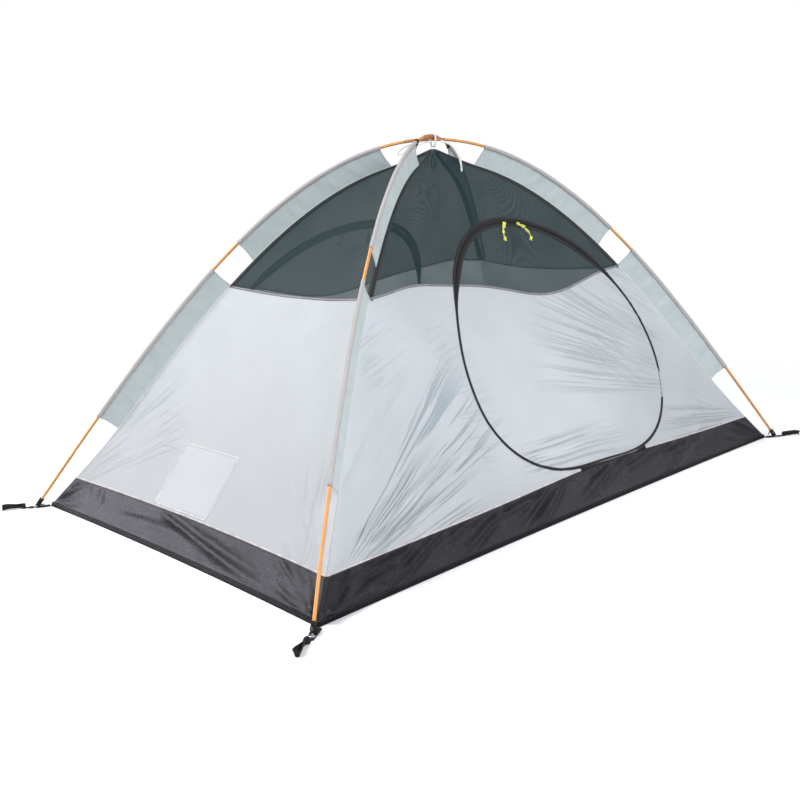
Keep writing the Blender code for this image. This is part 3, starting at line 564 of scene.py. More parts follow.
def fabric(name, colour, folds, glow, pleats=0.0):
    """Coated polyester: fine weave, faint grid, crisp folds with painted shade, uneven tone, light from
    behind.
    """
    paint = Paint(name, colour, 0.55, Sheen_Weight=0.12, Sheen_Roughness=0.45)
    vector = paint.cloth_uv()
    clouds = paint.noise(vector, 5.0, 4.0)
    threads = paint.noise(paint.stretch(vector, (900.0, 60.0, 1.0)), 1.0, 2.0)
    mottle = paint.math("MULTIPLY_ADD", threads, 0.25, clouds)
    base = paint.tint(paint.spread(mottle, 0.35, 0.95), 0.93, 1.05)
    soft = paint.bump(paint.noise(vector, 26.0, 4.0, 0.55), 0.0035, 0.35)
    marks = [strokes(paint, vector, fold_fan) for fold_fan in folds]
    # Pleat lines on the sleeves, drawn as bump and painted shade.
    if pleats:
        lines = paint.noise(paint.stretch(vector, (8.0, 60.0, 1.0), 0.30), 1.0, 2.0)
        marks.append(paint.spread(lines, 0.56, 0.66, 0.0, pleats))
    if marks:
        fold_bump_and_shade = functools.reduce(lambda one, two: paint.math("MAXIMUM", one, two), marks)
        soft = paint.bump(fold_bump_and_shade, 0.0030, 1.0, soft)
        # Painted shade: along the folds and pleats the colour darkens towards a teal grey.
        fold_shade = [part * share for part, share in zip(colour, FOLD_SHADE_SHARE)]
        base = paint.mix(paint.math("MULTIPLY", fold_bump_and_shade, 0.85), base, (*fold_shade, 1.0))
    normal = weave(paint, vector, 0.0052, 18.0, 0.00012, 0.5, 0.0009, 0.00018, soft)
    paint.wire(Base_Color=base, Roughness=paint.gloss(clouds, 0.3, 0.7, 0.07, 0.08), Normal=normal)
    paint.glow(glow, normal, base)
    return paint.material


def netting(name, colour, holes):
    """Fine netting: six-sided cells whose threads hide what is behind, and holes that don't."""
    paint = Paint(name, colour, 0.75, Specular_IOR_Level=0.3)
    vector = paint.cloth_uv()
    cells = paint.stretch(vector, (1.0, 0.62, 1.0), math.radians(45.0))
    inputs = {"Vector": cells, "Scale": 620.0, "Randomness": 0.12}
    edge = paint.node("ShaderNodeTexVoronoi", inputs, feature="DISTANCE_TO_EDGE").outputs["Distance"]
    thread = paint.spread(edge, 0.10, 0.26, 1.0, 0.0)
    patch = paint.spread(paint.noise(vector, 7.0, 3.0), 0.3, 0.7, -0.04, 0.04)
    cover = paint.math("MULTIPLY_ADD", thread, 0.40, 1.0 - holes - 0.08)
    paint.wire(Base_Color=paint.tint(thread, 0.7, 1.25), Normal=paint.bump(thread, 0.0002, 0.5))
    paint.veil(paint.math("ADD", cover, patch, clamp=True))
    return paint.material


def coated(name, colour, roughness, shine):
    """The tub's heavy coated fabric: a shine, a fine grid and crinkles."""
    paint = Paint(name, colour, roughness, Specular_IOR_Level=shine)
    vector = paint.cloth_uv()
    clouds, dust = paint.noise(vector, 9.0, 5.0, 0.6), paint.noise(vector, 60.0, 5.0, 0.7)
    mix = paint.math("MULTIPLY_ADD", dust, 0.4, clouds)
    wrinkles = paint.noise(paint.stretch(vector, (1.0, 1.6, 1.0), 0.4), 34.0, 5.0, 0.6)
    crinkle = paint.bump(wrinkles, 0.006, 0.40)
    paint.wire(
        Base_Color=paint.tint(paint.spread(mix, 0.5, 1.0), 0.8, 1.35),
        Roughness=paint.gloss(mix, 0.45, 0.95, 0.08, 0.12),
        Normal=weave(paint, vector, 0.0048, 16.0, 0.00018, 0.6, 0.0011, 0.00022, crinkle),
    )
    return paint.material


def ribbed(name, colour, roughness, pitch=0.0012, depth=0.0003, glow=0.0):
    """Woven tape or webbing: ribs across it, and fuzz."""
    paint = Paint(name, colour, roughness, Sheen_Weight=0.03, Sheen_Roughness=0.5, Specular_IOR_Level=0.3)
    vector = paint.place()
    fuzz, worn = paint.noise(vector, 900.0, 3.0), paint.noise(vector, 45.0, 4.0)
    mix = paint.math("MULTIPLY_ADD", fuzz, 0.5, worn)
    ribs = paint.math("ADD", paint.bands(vector, pitch, "DIAGONAL"), paint.bands(vector, pitch, "Z"))
    normal = paint.bump(ribs, depth, 0.5, paint.bump(fuzz, 0.0002, 0.4))
    paint.wire(
        Base_Color=paint.tint(paint.spread(mix, 0.5, 1.0), 0.75, 1.4),
        Roughness=paint.gloss(worn, 0.3, 0.7, 0.08, 0.08),
        Normal=normal,
    )
    if glow:
        paint.glow(glow, normal, (*colour, 1.0))
    return paint.material


def metal(name, colour, roughness, metallic=1.0):
    """Anodised or bare metal: scuffs and uneven gloss."""
    paint = Paint(name, colour, roughness, Metallic=metallic)
    vector = paint.place()
    scuffs, clouds = paint.noise(vector, 240.0, 5.0, 0.65), paint.noise(vector, 14.0, 3.0)
    mix = paint.math("MULTIPLY_ADD", scuffs, 0.4, clouds)
    paint.wire(
        Base_Color=paint.tint(paint.spread(mix, 0.5, 0.95), 0.86, 1.08),
        Roughness=paint.gloss(scuffs, 0.35, 0.75, 0.06, 0.14),
        Normal=paint.bump(scuffs, 0.0001, 0.35),
    )
    return paint.material


def moulded(name, colour, roughness):
    """Moulded plastic: a fine grain and wear."""
    paint = Paint(name, colour, roughness)
    vector = paint.place()
    grain, worn = paint.noise(vector, 1400.0, 2.0), paint.noise(vector, 60.0, 4.0)
    paint.wire(
        Base_Color=paint.tint(worn, 0.8, 1.5),
        Roughness=paint.gloss(worn, 0.3, 0.7, 0.06, 0.1),
        Normal=paint.bump(grain, 0.00006, 0.4),
    )
    return paint.material


def braided(name, colour, roughness, pitch):
    """Braided cord: two sets of strands that cross round it, with painted shade in the grooves between them.
    """
    paint = Paint(name, colour, roughness, Sheen_Weight=0.3)
    vector = paint.place()
    both = [paint.bands(paint.stretch(vector, (k, 1.0, 1.6)), pitch, "DIAGONAL") for k in (1.0, -1.0)]
    strands = paint.math("MAXIMUM", *both)
    paint.wire(
        # Painted shade: the colour darkens to about half in the grooves between strands.
        Base_Color=paint.tint(strands, 0.55, 1.15),
        Roughness=paint.gloss(strands, 0.0, 1.0, -0.1, -0.05),
        Normal=paint.bump(strands, 0.0005, 0.8),
    )
    return paint.material


WALL = (0.80, 0.830, 0.855)
# How dark the painted shade in the folds is, as shares of the cloth's colour.
FOLD_SHADE_SHARE = (0.58, 0.66, 0.69)
# Fans of narrow folds, drawn as bump and painted shade: focus, direction, half spread, nearest, furthest,
# pitch (radians), lengthwise scale, seed, threshold and strength.
LONG_FOLDS = (
    ((-1.00, -1.15), 0.46, 0.22, 0.10, 0.86, 0.019, 2.2, 3.7, 0.57, 0.95),
    ((-1.00, -1.15), 0.25, 0.20, 0.16, 0.62, 0.012, 2.6, 53.7, 0.59, 0.70),
    ((-2.50, -1.28), 0.35, 0.065, 1.90, 2.16, 0.0055, 5.0, 64.9, 0.53, 0.75),
    ((-1.30, -0.80), 0.02, 0.26, 0.90, 1.10, 0.0075, 5.0, 97.1, 0.55, 0.60),
    ((1.05, -1.02), 2.73, 0.27, 0.44, 1.12, 0.0070, 1.6, 31.3, 0.55, 0.55),
    ((-1.20, 0.60), -0.62, 0.15, 1.95, 2.42, 0.0034, 3.0, 127.7, 0.54, 0.60),
    ((-1.60, -0.97), -0.03, 0.035, 1.38, 1.98, 0.0060, 2.0, 211.3, 0.52, 0.80),
    ((1.30, -1.13), 3.04, 0.11, 0.36, 0.86, 0.0110, 2.4, 263.9, 0.55, 0.65),
)
END_FOLDS = (
    ((-0.63, -1.44), 0.88, 0.46, 0.10, 0.56, 0.0150, 3.0, 5.1, 0.60, 0.40),
    ((0.58, -1.62), 1.86, 0.22, 0.24, 0.56, 0.0130, 3.0, 77.3, 0.60, 0.40),
    ((-0.75, -1.20), 0.00, 0.30, 0.42, 0.60, 0.0140, 4.0, 147.3, 0.62, 0.35),
)
LOOKS = {
    "wall_long": fabric("wall_long", WALL, LONG_FOLDS, 0.50),
    "wall_end": fabric("wall_end", WALL, END_FOLDS, 0.50),
    # The sleeve is the wall's fabric; its darker grey-teal colour is painted shade.
    "sleeve": fabric("sleeve", (0.66, 0.715, 0.715), (), 0.45, pleats=0.16),
    # The tunnel is the sleeve's cloth; its darker pinkish colour is painted shade, tinted by the orange pole
    # seen through it.
    "tunnel": fabric("tunnel", (0.50, 0.465, 0.465), (), 0.20),
    "net": netting("net", (0.003, 0.022, 0.027), 0.345),
    "tub": coated("tub", (0.0070, 0.0066, 0.0100), 0.28, 0.23),
    "hem": coated("hem", (0.0030, 0.0029, 0.0034), 0.50, 0.12),
    "zip_tape": ribbed("zip_tape", (0.0045, 0.0045, 0.0055), 0.7, 0.0008),
    "zip_coil": moulded("zip_coil", (0.005, 0.005, 0.006), 0.42),
    "thread_dark": ribbed("thread_dark", (0.11, 0.095, 0.10), 0.6, 0.0006),
    "thread_pale": ribbed("thread_pale", (0.55, 0.55, 0.57), 0.6, 0.0006),
    "binding": ribbed("binding", (0.010, 0.012, 0.013), 0.65),
    "piping": ribbed("piping", (0.22, 0.21, 0.235), 0.6),
    "tub_seam": ribbed("tub_seam", (0.52, 0.47, 0.48), 0.6),
    "slider": metal("slider", (0.03, 0.03, 0.032), 0.35, 0.9),
    "pull_cord": braided("pull_cord", (0.78, 0.80, 0.13), 0.6, 0.0016),
    "pole": metal("pole", (0.64, 0.29, 0.085), 0.46, 0.45),
    "ferrule": metal("ferrule", (0.46, 0.19, 0.06), 0.42, 0.5),
    "tip_metal": metal("tip_metal", (0.58, 0.58, 0.60), 0.28),
    "webbing": ribbed("webbing", (0.0035, 0.0035, 0.0038), 0.75, 0.0016, 0.0005),
    "tie_tape": ribbed("tie_tape", (0.80, 0.80, 0.79), 0.6, 0.0012, 0.0002, 0.25),
    "loop_tape": ribbed("loop_tape", (0.85, 0.86, 0.86), 0.6, 0.0012, 0.0002),
    "hook_plastic": moulded("hook_plastic", (0.006, 0.006, 0.007), 0.4),
    "pocket": fabric("pocket", (0.72, 0.735, 0.76), (), 0.40),
}


# ------------------------------------------------------------------ meshes

UP = np.array([0.0, 0.0, 1.0])


def unit(vectors):
    """Vectors scaled to length 1."""
    return vectors / np.maximum(np.linalg.norm(vectors, axis=-1, keepdims=True), 1e-12)


def travelled(path):
    """The length of a polyline up to each of its points."""
    return np.concatenate([[0.0], np.cumsum(np.linalg.norm(np.diff(path, axis=0), axis=1))])


def full_turn(count, start=0.0):
    """Angles in even steps round a circle."""
    return 2 * math.pi * (np.arange(count) + start) / count


def link(name, data):
    """An object for these data, in the scene."""
    obj = bpy.data.objects.new(name, data)
    bpy.context.scene.collection.objects.link(obj)
    return obj


def add_mesh(name, points, faces, look, uv):
    """A smooth mesh in one of the looks, with cloth coordinates in metres."""
    mesh = bpy.data.meshes.new(name)
    mesh.from_pydata(np.asarray(points, float).tolist(), [], faces)
    mesh.materials.append(LOOKS[look])
    mesh.polygons.foreach_set("use_smooth", [True] * len(mesh.polygons))
    corners = np.zeros(len(mesh.loops), int)
    mesh.loops.foreach_get("vertex_index", corners)
    mesh.uv_layers.new(name="cloth").data.foreach_set("uv", np.asarray(uv, float)[corners].ravel())
    mesh.update()
    return link(name, mesh)


def fix(obj, body, nodes=()):
    """Lets a piece ride on a body, in place of CAD nodes."""
    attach(obj, body)
    if nodes:
        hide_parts(*nodes)
    return obj


class Shape:
    """Points, faces and cloth coordinates of one piece made of several parts."""

    def __init__(self):
        self.points, self.uv, self.faces, self.count = [], [], [], 0

    def add(self, points, faces, uv=None):
        points = np.asarray(points, float).reshape(-1, 3)
        if uv is None:
            uv = points[:, :2] + points[:, 2:] * 0.7
        self.points.append(points)
        self.uv.append(np.asarray(uv, float).reshape(-1, 2))
        self.faces += [tuple(int(k) + self.count for k in face) for face in faces]
        self.count += len(points)

    def make(self, name, look, body, nodes=()):
        obj = add_mesh(name, np.concatenate(self.points), self.faces, look, np.concatenate(self.uv))
        return fix(obj, body, nodes)


def tube_faces(rings, count, closed=False, caps=True):
    """Quads between rings of count points, with their ends filled unless closed."""
    faces = []
    for k in range(rings if closed else rings - 1):
        here, there = k * count, ((k + 1) % rings) * count
        for j in range(count):
            following = (j + 1) % count
            faces.append((here + j, here + following, there + following, there + j))
    if caps and not closed:
        faces.append(tuple(reversed(range(count))))
        faces.append(tuple(range((rings - 1) * count, rings * count)))
    return faces


def sweep(shape, path, hint, profile, closed=False, caps=True):
    """A profile, as (first, second) pairs or one such list for each point, moved along a path."""
    path = np.asarray(path, float)
    if closed:
        along = unit(np.roll(path, -1, axis=0) - np.roll(path, 1, axis=0))
    else:
        along = unit(np.gradient(path, axis=0))
    first = np.broadcast_to(np.asarray(hint, float), path.shape)
    first = unit(first - along * (first * along).sum(1, keepdims=True))
    second = np.cross(along, first)
    profile = np.asarray(profile, float)
    if profile.ndim == 2:
        profile = np.broadcast_to(profile, (len(path), *profile.shape))
    points = path[:, None] + first[:, None] * profile[..., :1] + second[:, None] * profile[..., 1:]
    uv = np.stack(np.meshgrid(travelled(profile[0]), travelled(path)), -1)
    shape.add(points, tube_faces(len(path), profile.shape[1], closed, caps), uv)


def add_swept(name, look, path, hint, profile, nodes=(), closed=False):
    """One piece on the tent's body, made by one sweep."""
    shape = Shape()
    sweep(shape, path, hint, profile, closed)
    return shape.make(name, look, BODY, nodes)


def circle(radius, count, squash=1.0):
    """A round profile, or an oval one."""
    turns = full_turn(count)
    return np.stack([radius * np.cos(turns), radius * squash * np.sin(turns)], -1)


def soft_rectangle(width, height, corner=0.3):
    """A flat profile with rounded edges: width along the first axis."""
    p, q, r = width / 2, height / 2, corner * height
    half = [(-p, -q + r), (-p + r, -q), (p - r, -q), (p, -q + r)]
    return half + [(-x, -y) for x, y in half]


def cord_ring(shape, centre, along, first, second, thick, count=28, skew=0.0):
    """A closed ring of cord round a centre, with first and second as its half axes."""
    turn = full_turn(count)
    ring = centre + np.outer(np.cos(turn), first) + np.outer(np.sin(turn), second) + skew
    sweep(shape, ring, along, circle(thick, 8), closed=True)


def along_line(points, lengths, at):
    """Values between a polyline's points, at these lengths along it."""
    return np.stack([np.interp(at, lengths, points[:, k]) for k in range(points.shape[1])], -1)


def stitches(shape, points, normals, pitch):
    """A row of single stitches along a line on a surface."""
    points, normals = np.asarray(points, float), np.asarray(normals, float)
    lengths = travelled(points)
    at = np.arange(pitch / 2, lengths[-1], pitch)
    start, end = (along_line(points, lengths, at + pitch * k) for k in (-STITCH_FILL / 2, STITCH_FILL / 2))
    out = unit(along_line(normals, lengths, at))
    half = unit(np.cross(out, end - start)) * STITCH_WIDTH / 2
    low, high = -0.5 * STITCH_HEIGHT * out, STITCH_HEIGHT * out
    block = []
    for place, waist, rise in ((start, 0.6, 0.4), ((start + end) / 2, 0.7, 1.0), (end, 0.6, 0.4)):
        block += [place - half + low, place + half + low]
        block += [place + half * waist + high * rise, place - half * waist + high * rise]
    faces = tube_faces(3, 4)
    every = [tuple(k + 12 * n for k in face) for n in range(len(at)) for face in faces]
    shape.add(np.stack(block, 1), every)


def offset(path, off):
    """A path of (a, v) moved off to its right."""
    path = np.asarray(path, float)
    ahead = unit(np.gradient(path, axis=0))
    off = np.broadcast_to(np.asarray(off, float), (len(path),))
    return path + np.stack([ahead[:, 1], -ahead[:, 0]], -1) * off[:, None]


def ribbon(shape, side, left, right, low, high, columns):
    """A closed band on the cloth between two paths of (a, v), the left one first."""
    share = np.linspace(0, 1, columns + 1)
    flat = left[:, None] + (right - left)[:, None] * share[:, None]
    lift_top = np.full(columns + 1, high)
    lift_top[[0, -1]] -= 0.25 * (high - low)
    across = flat.shape[:2]
    top = side.skin(flat[..., 0], flat[..., 1], np.broadcast_to(lift_top, across))
    under = side.skin(flat[..., 0], flat[..., 1], np.full(across, low))
    faces = [tuple(reversed(face)) for face in tube_faces(len(left), 2 * (columns + 1))]
    shape.add(np.concatenate([top, under[:, ::-1]], 1), faces, np.concatenate([flat, flat[:, ::-1]], 1))


def add_strip(name, look, place, path, across, lifts, columns, nodes=()):
    """A closed band on the cloth beside a path; place is its side, body and slot, and the slot is not used.
    """
    side, body, slot = place
    shape = Shape()
    ribbon(shape, side, offset(path, across[0]), offset(path, across[1]), *lifts, columns)
    return shape.make(name, look, body, nodes)


def add_stitching(name, place, path, lift, pitch=0.005, look="thread_dark"):
    """A row of stitches on the cloth along a path; place is its side, body and slot, and the slot is not
    used.
    """
    side, body, slot = place
    shape = Shape()
    stitch_path(shape, side, path, lift, pitch)
    shape.make(name, look, body)


def stitch_path(shape, side, path, lift, pitch):
    """A row of stitches that follows the cloth along a path of (a, v)."""
    points = side.skin(path[:, 0], path[:, 1], np.full(len(path), lift))
    stitches(shape, points, side.normal(path[:, 0], path[:, 1]), pitch)


# ------------------------------------------------------------------ cloth panels


def inside(points, loop):
    """Which points lie inside the loop."""
    found = np.zeros(len(points), bool)
    for (x0, y0), (x1, y1) in zip(loop, np.roll(loop, -1, axis=0)):
        if y0 != y1:
            crosses = (points[:, 1] > min(y0, y1)) & (points[:, 1] <= max(y0, y1))
            where = np.flatnonzero(crosses)
            at = x0 + (points[where, 1] - y0) * (x1 - x0) / (y1 - y0)
            found[where[points[where, 0] < at]] ^= True
    return found


def clear_of(points, loop, distance):
    """Which points are at least this far from the loop's own points."""
    keep = np.ones(len(points), bool)
    for corner in loop:
        where = np.flatnonzero((np.abs(points - corner) < distance).all(1) & keep)
        keep[where[np.hypot(*(points[where] - corner).T) < distance]] = False
    return keep


def triangulate(loop, step):
    """Triangles that fill the loop, on an even lattice, and their area."""
    loop = np.array(loop, float)
    low, high = loop.min(0), loop.max(0)
    rows = enumerate(np.arange(low[1], high[1], step * 0.866))
    columns = np.arange(low[0], high[0], step)
    lattice = np.array([(x + (k % 2) * step / 2, y) for k, y in rows for x in columns])
    lattice = lattice[inside(lattice, loop)]
    lattice = lattice[clear_of(lattice, loop, 0.75 * step)]
    edges = [(k, (k + 1) % len(loop)) for k in range(len(loop))]
    made = delaunay_2d_cdt([Vector(p) for p in np.concatenate([loop, lattice])], edges, [], 1, 1e-7)
    corners = np.array([tuple(p) for p in made[0]])
    faces = np.array([tuple(face) for face in made[2]])
    first, second = (corners[faces[:, k]] - corners[faces[:, 0]] for k in (1, 2))
    double = first[:, 0] * second[:, 1] - first[:, 1] * second[:, 0]
    faces[double < 0] = faces[double < 0][:, ::-1]
    return corners, faces, float(np.abs(double).sum() / 2)


def add_panel(name, side, loop, look, node, body=BODY, lift=0.0):
    """One cut piece of cloth on a side of the canopy, in place of a CAD node."""
    slot, step = CLOTHS[look]
    corners, faces, area = triangulate(loop, step)
    points = side.skin(corners[:, 0], corners[:, 1], np.full(len(corners), lift))
    obj = add_mesh(name, points, faces.tolist(), look, corners)
    fix(obj, body, [node])
    width, length = map(float, corners.max(0) - corners.min(0))
    if area < 0.3 * width * length:
        length = area / 0.35 / width


def add_canopy(name):
    """The cloth of one side: fabric below, net above, with a hole for the door on a long side."""
    side = SIDES[name]
    reach, base = (float(side.half(u)) - EDGE_IN for u in (MESH_U, TUB_U))
    left_edge = side.ridge_edge(-1, MESH_U, TUB_U)[1:-1]
    right_edge = side.ridge_edge(1, TUB_U, MESH_U)[1:-1]
    peak = side.ridge_edge(1, MESH_U, APEX_U)[1:] + side.ridge_edge(-1, APEX_U, MESH_U)[:-1]
    if side.long:
        left, right = seam_angles(side, hole_off, -GAP)
        edge = arc(left, tub_angle(side, 200.0, 262.0), hole_off)
        loop = side.tub_edge(-base, edge[-1][0]) + edge[::-1]
        loop += side.seam_edge(edge[0][0], -reach, -GAP)[1:] + left_edge
        add_panel(f"{name}_fabric_left", side, loop, "wall_long", f"{name}_wall_left")
        edge = arc(tub_angle(side, 320.0, 290.0), 360.0 + right, hole_off)
        loop = side.tub_edge(edge[0][0], base) + right_edge
        loop += side.seam_edge(reach, edge[-1][0], -GAP) + edge[::-1][1:]
        add_panel(f"{name}_fabric_right", side, loop, "wall_long", f"{name}_wall_right")
        edge = arc(*seam_angles(side, hole_off, GAP), hole_off)
        loop = side.seam_edge(-reach, edge[0][0], GAP) + edge[1:]
        loop += side.seam_edge(edge[-1][0], reach, GAP)[1:] + peak
    else:
        loop = side.tub_edge(-base, base) + right_edge + side.seam_edge(reach, -reach, -GAP) + left_edge
        add_panel(f"{name}_fabric", side, loop, "wall_end", f"{name}_wall")
        loop = side.seam_edge(-reach, reach, GAP) + peak
    add_panel(f"{name}_net", side, loop, "net", f"{name}_mesh")


def add_door(name):
    """The door's fabric and its strip of net, which swing together."""
    side, body = SIDES[name], f"{name}_door"
    left, right = seam_angles(side, leaf_off, -GAP)
    edge = arc(left, 360.0 + right, leaf_off)
    loop = edge + side.seam_edge(edge[-1][0], edge[0][0], -GAP)[1:-1]
    add_panel(f"{name}_door_panel", side, loop, "wall_long", f"{name}_door_fabric", body)
    left, right = seam_angles(side, leaf_off, GAP)
    edge = arc(right, left, leaf_off)
    loop = edge + side.seam_edge(edge[-1][0], edge[0][0], GAP)[1:-1]
    add_panel(f"{name}_door_net", side, loop, "net", f"{name}_door_mesh", body)


# ------------------------------------------------------------------ zips


def zip_path(low, high):
    """Angles round the door, and the zip's line there as (a, v)."""
    count = round(abs(high - low) * math.pi / 180 * DOOR_R / 0.005)
    angle = np.linspace(low, high, count)
    return angle, np.stack(outline(angle, np.zeros(count)), -1)


def add_zip(name):
    """Two tapes with stitching and a coil of teeth each, one on the wall and one on the door."""
    side = SIDES[name]
    start, end = HINGE_TO + 0.4, 360.0 + HINGE_FROM - 0.4
    angle, path = zip_path(start, end)
    half = zip_half(angle)
    clear = slice(*np.searchsorted(angle, (start + COIL_CLEAR, end - COIL_CLEAR)))
    for part, sign, body in (("wall", 1.0, BODY), ("door", -1.0, f"{name}_door")):
        place = (side, body, "zip_tape")
        trim = 0.0 if sign > 0 else TAPE_CLEAR
        kept = slice(*np.searchsorted(angle, (start + trim, end - trim)))
        across = (ZIP_GAP / 2 * sign, half[kept] * sign)[:: int(sign)]
        lifts, nodes = (-0.0005, 0.0010), [f"{name}_zip_{part}_tape"]
        add_strip(f"{name}_zip_tape_{part}", "zip_tape", place, path[kept], across, lifts, 3, nodes)
        shape = Shape()
        for share in (0.62, 0.84):
            stitch_path(shape, side, offset(path, half * sign * share)[clear], 0.0011, 0.0042)
        shape.make(f"{name}_zip_stitching_{part}", "thread_dark", body)
        shape = Shape()
        add_teeth(shape, side, path[clear], sign)
        shape.make(f"{name}_zip_coil_{part}", "zip_coil", body)


def add_teeth(shape, side, path, sign):
    """One row of the coil: small arches that stand on the tape's inner edge."""
    lengths = travelled(path)
    count = int(lengths[-1] / COIL_PITCH)
    at = np.arange(COIL_PITCH / 2, lengths[-1], COIL_PITCH) + (COIL_PITCH / 2 if sign > 0 else 0.0)
    at = np.minimum(at, lengths[-1])[:count]
    middle = along_line(path, lengths, at)
    ahead = unit(along_line(np.gradient(path, axis=0), lengths, at))
    aside = np.stack([ahead[:, 1], -ahead[:, 0]], -1) * sign
    rows = []
    for reach, lift in ((0.00015, 0.0012), (0.0003, 0.0024), (0.0022, 0.0026), (0.0030, 0.0012)):
        for shift in (-0.00065, 0.00065):
            flat = middle + aside * reach + ahead * shift
            rows.append(side.skin(flat[:, 0], flat[:, 1], np.full(len(flat), lift)))
    faces = [(0, 2, 3, 1), (2, 4, 5, 3), (4, 6, 7, 5), (6, 0, 1, 7), (0, 6, 4, 2), (1, 3, 5, 7)]
    if sign < 0:
        faces = [tuple(reversed(face)) for face in faces]
    every = [tuple(k + 8 * n for k in face) for n in range(len(at)) for face in faces]
    shape.add(np.stack(rows, 1), every)


def add_gusset(name):
    """The black cloth that fills in between the zip's foot and the tub."""
    side = SIDES[name]
    angle = np.linspace(*GUSSET, 60)
    top = np.stack(outline(angle, zip_half(angle) * 0.9), -1)
    low = np.minimum(side.tub_line(top[:, 0]) - 0.006, top[:, 1] - 0.001)
    shape = Shape()
    ribbon(shape, side, top, np.stack([top[:, 0], low], -1), -0.0006, 0.0019, 8)
    shape.make(f"{name}_gusset", "hem", BODY)
    place = (side, BODY, "tub_fabric")
    add_stitching(f"{name}_gusset_stitching", place, top + np.array([0.0, -0.004]), 0.0019, 0.0045)


def add_hinge_seam(name):
    """The bound seam along the sewn edge that the door turns on. It rides on the door."""
    place = (SIDES[name], f"{name}_door", "wall_fabric")
    _, path = zip_path(HINGE_FROM - 0.2, HINGE_TO + 0.2)
    add_strip(f"{name}_hinge_tape", "piping", place, path, (-0.0042, -0.0006), (-0.0004, 0.0009), 2)
    add_stitching(f"{name}_hinge_stitching", place, offset(path, -0.0024), 0.0010, 0.004)


def slider_place(side, angle):
    """The slider's place on the zip: point, along the zip, across it and out of the cloth."""
    here, ahead = outline(angle, 0.0), outline(angle + 1.0, 0.0)
    point = side.skin(*map(np.array, here))
    out = side.normal(*map(np.array, here))
    along = unit(side.skin(*map(np.array, ahead)) - point)
    return point, along, np.cross(out, along), out


def add_slider(name, hand):
    """A slider of two plates with a neck and a bridge, then its knotted cord."""
    point, along, across, out = slider_place(SIDES[name], SLIDER_AT[hand])
    turns = full_turn(24)
    swell = 0.80 + 0.20 * np.cos(2 * turns)
    flat = np.outer(0.0065 * np.cos(turns) * swell, along) + np.outer(0.0042 * np.sin(turns), across)
    shape = Shape()
    for low, high in ((0.0020, 0.0030), (0.0040, 0.0052)):
        levels = ((0.93, low), (1.0, low + 0.0003), (1.0, high - 0.0003), (0.93, high))
        rings = [point + flat * size + out * lift for size, lift in levels]
        shape.add(np.concatenate(rings), tube_faces(4, 24))
    sweep(shape, [point + out * 0.0030, point + out * 0.0040], along, circle(0.0016, 10))
    t = np.linspace(0, math.pi, 9)
    bridge = point + np.outer(0.0042 * np.cos(t), along) + np.outer(0.0050 + 0.0028 * np.sin(t), out)
    sweep(shape, bridge, across, soft_rectangle(0.0022, 0.0011))
    nodes = [f"{name}_zip_slider_{hand}"]
    shape.make(f"{name}_slider_body_{hand}", "slider", f"{name}_slider_{hand}", nodes)
    add_pull(name, hand)


def pull_points(name, hand):
    """The cord's route: down over the net below its slider, as the CAD part has it."""
    side = SIDES[name]
    lean = 0.028 if hand == "left" else -0.034
    start_a, start_v = outline(SLIDER_AT[hand], -0.0062)
    t = np.linspace(0, 1, 17)
    a = start_a - lean * np.sin(1.9 * t)
    v = start_v - PULL_LENGTH * 0.92 * t
    lift = 0.005 + 0.004 * np.sin(math.pi * t) - side.relief(a, v)
    return side.skin(a, v, lift)


def add_pull(name, hand):
    """The slider's cord, with knots and two bights of its doubled part."""
    points, body = pull_points(name, hand), f"{name}_slider_{hand}"
    data = bpy.data.curves.new(f"{name}_pull_{hand}", "CURVE")
    data.dimensions = "3D"
    data.bevel_depth = PULL_WIDTH / 2
    data.bevel_resolution = 4
    data.use_fill_caps = True
    spline = data.splines.new("POLY")
    spline.points.add(len(points) - 1)
    for place, point in zip(spline.points, points):
        place.co = (*point, 1.0)
    data.materials.append(LOOKS["pull_cord"])
    cord = fix(link(data.name, data), body, [f"{name}_zip_pull_{hand}"])
    knots = Shape()
    for at, size in ((1, 0.0054), (4, 0.0046), (9, 0.0036), (15, 0.0052)):
        add_knot(knots, points[at], unit(points[at + 1] - points[at - 1]), size)
    for reach in (0.0, 0.5):
        add_bight(knots, points, SIDES[name], reach)
    knot = knots.make(f"{name}_pull_knots_{hand}", "pull_cord", body)


def add_bight(shape, points, side, reach):
    """A loop of the doubled cord that stands off the pull."""
    start, ahead = points[2 + int(8 * reach)], unit(points[-1] - points[0])
    out = np.cross(ahead, UP)
    out = out if out[1] * side.turn > 0 else -out
    aside = np.cross(ahead, out)
    turn = full_turn(28)
    swing = 0.011 - 0.003 * reach
    flat = np.outer(swing * (1 - np.cos(turn)), 0.72 * ahead + (0.5 - reach) * 1.3 * aside)
    path = start + flat + np.outer(0.0048 * np.sin(turn), aside) + 0.004 * np.outer(1 - np.cos(turn), out)
    sweep(shape, path, out + 0.1 * ahead, circle(0.0012, 8), closed=True)


def add_knot(shape, centre, ahead, size):
    """An overhand knot: a trefoil of cord round the line."""
    turn = full_turn(40)
    x = np.sin(turn) + 2 * np.sin(2 * turn)
    y = np.cos(turn) - 2 * np.cos(2 * turn)
    aside = unit(np.cross(ahead, (0.3, 0.2, 0.9)))
    third = np.cross(ahead, aside)
    trefoil = np.outer(x * 0.42, ahead) + np.outer(y * 0.30, aside) - np.outer(np.sin(3 * turn) * 0.42, third)
    sweep(shape, centre + size * trefoil, third + 0.37 * ahead, circle(0.36 * size, 8), closed=True)


# ------------------------------------------------------------------ seams, bindings and piping


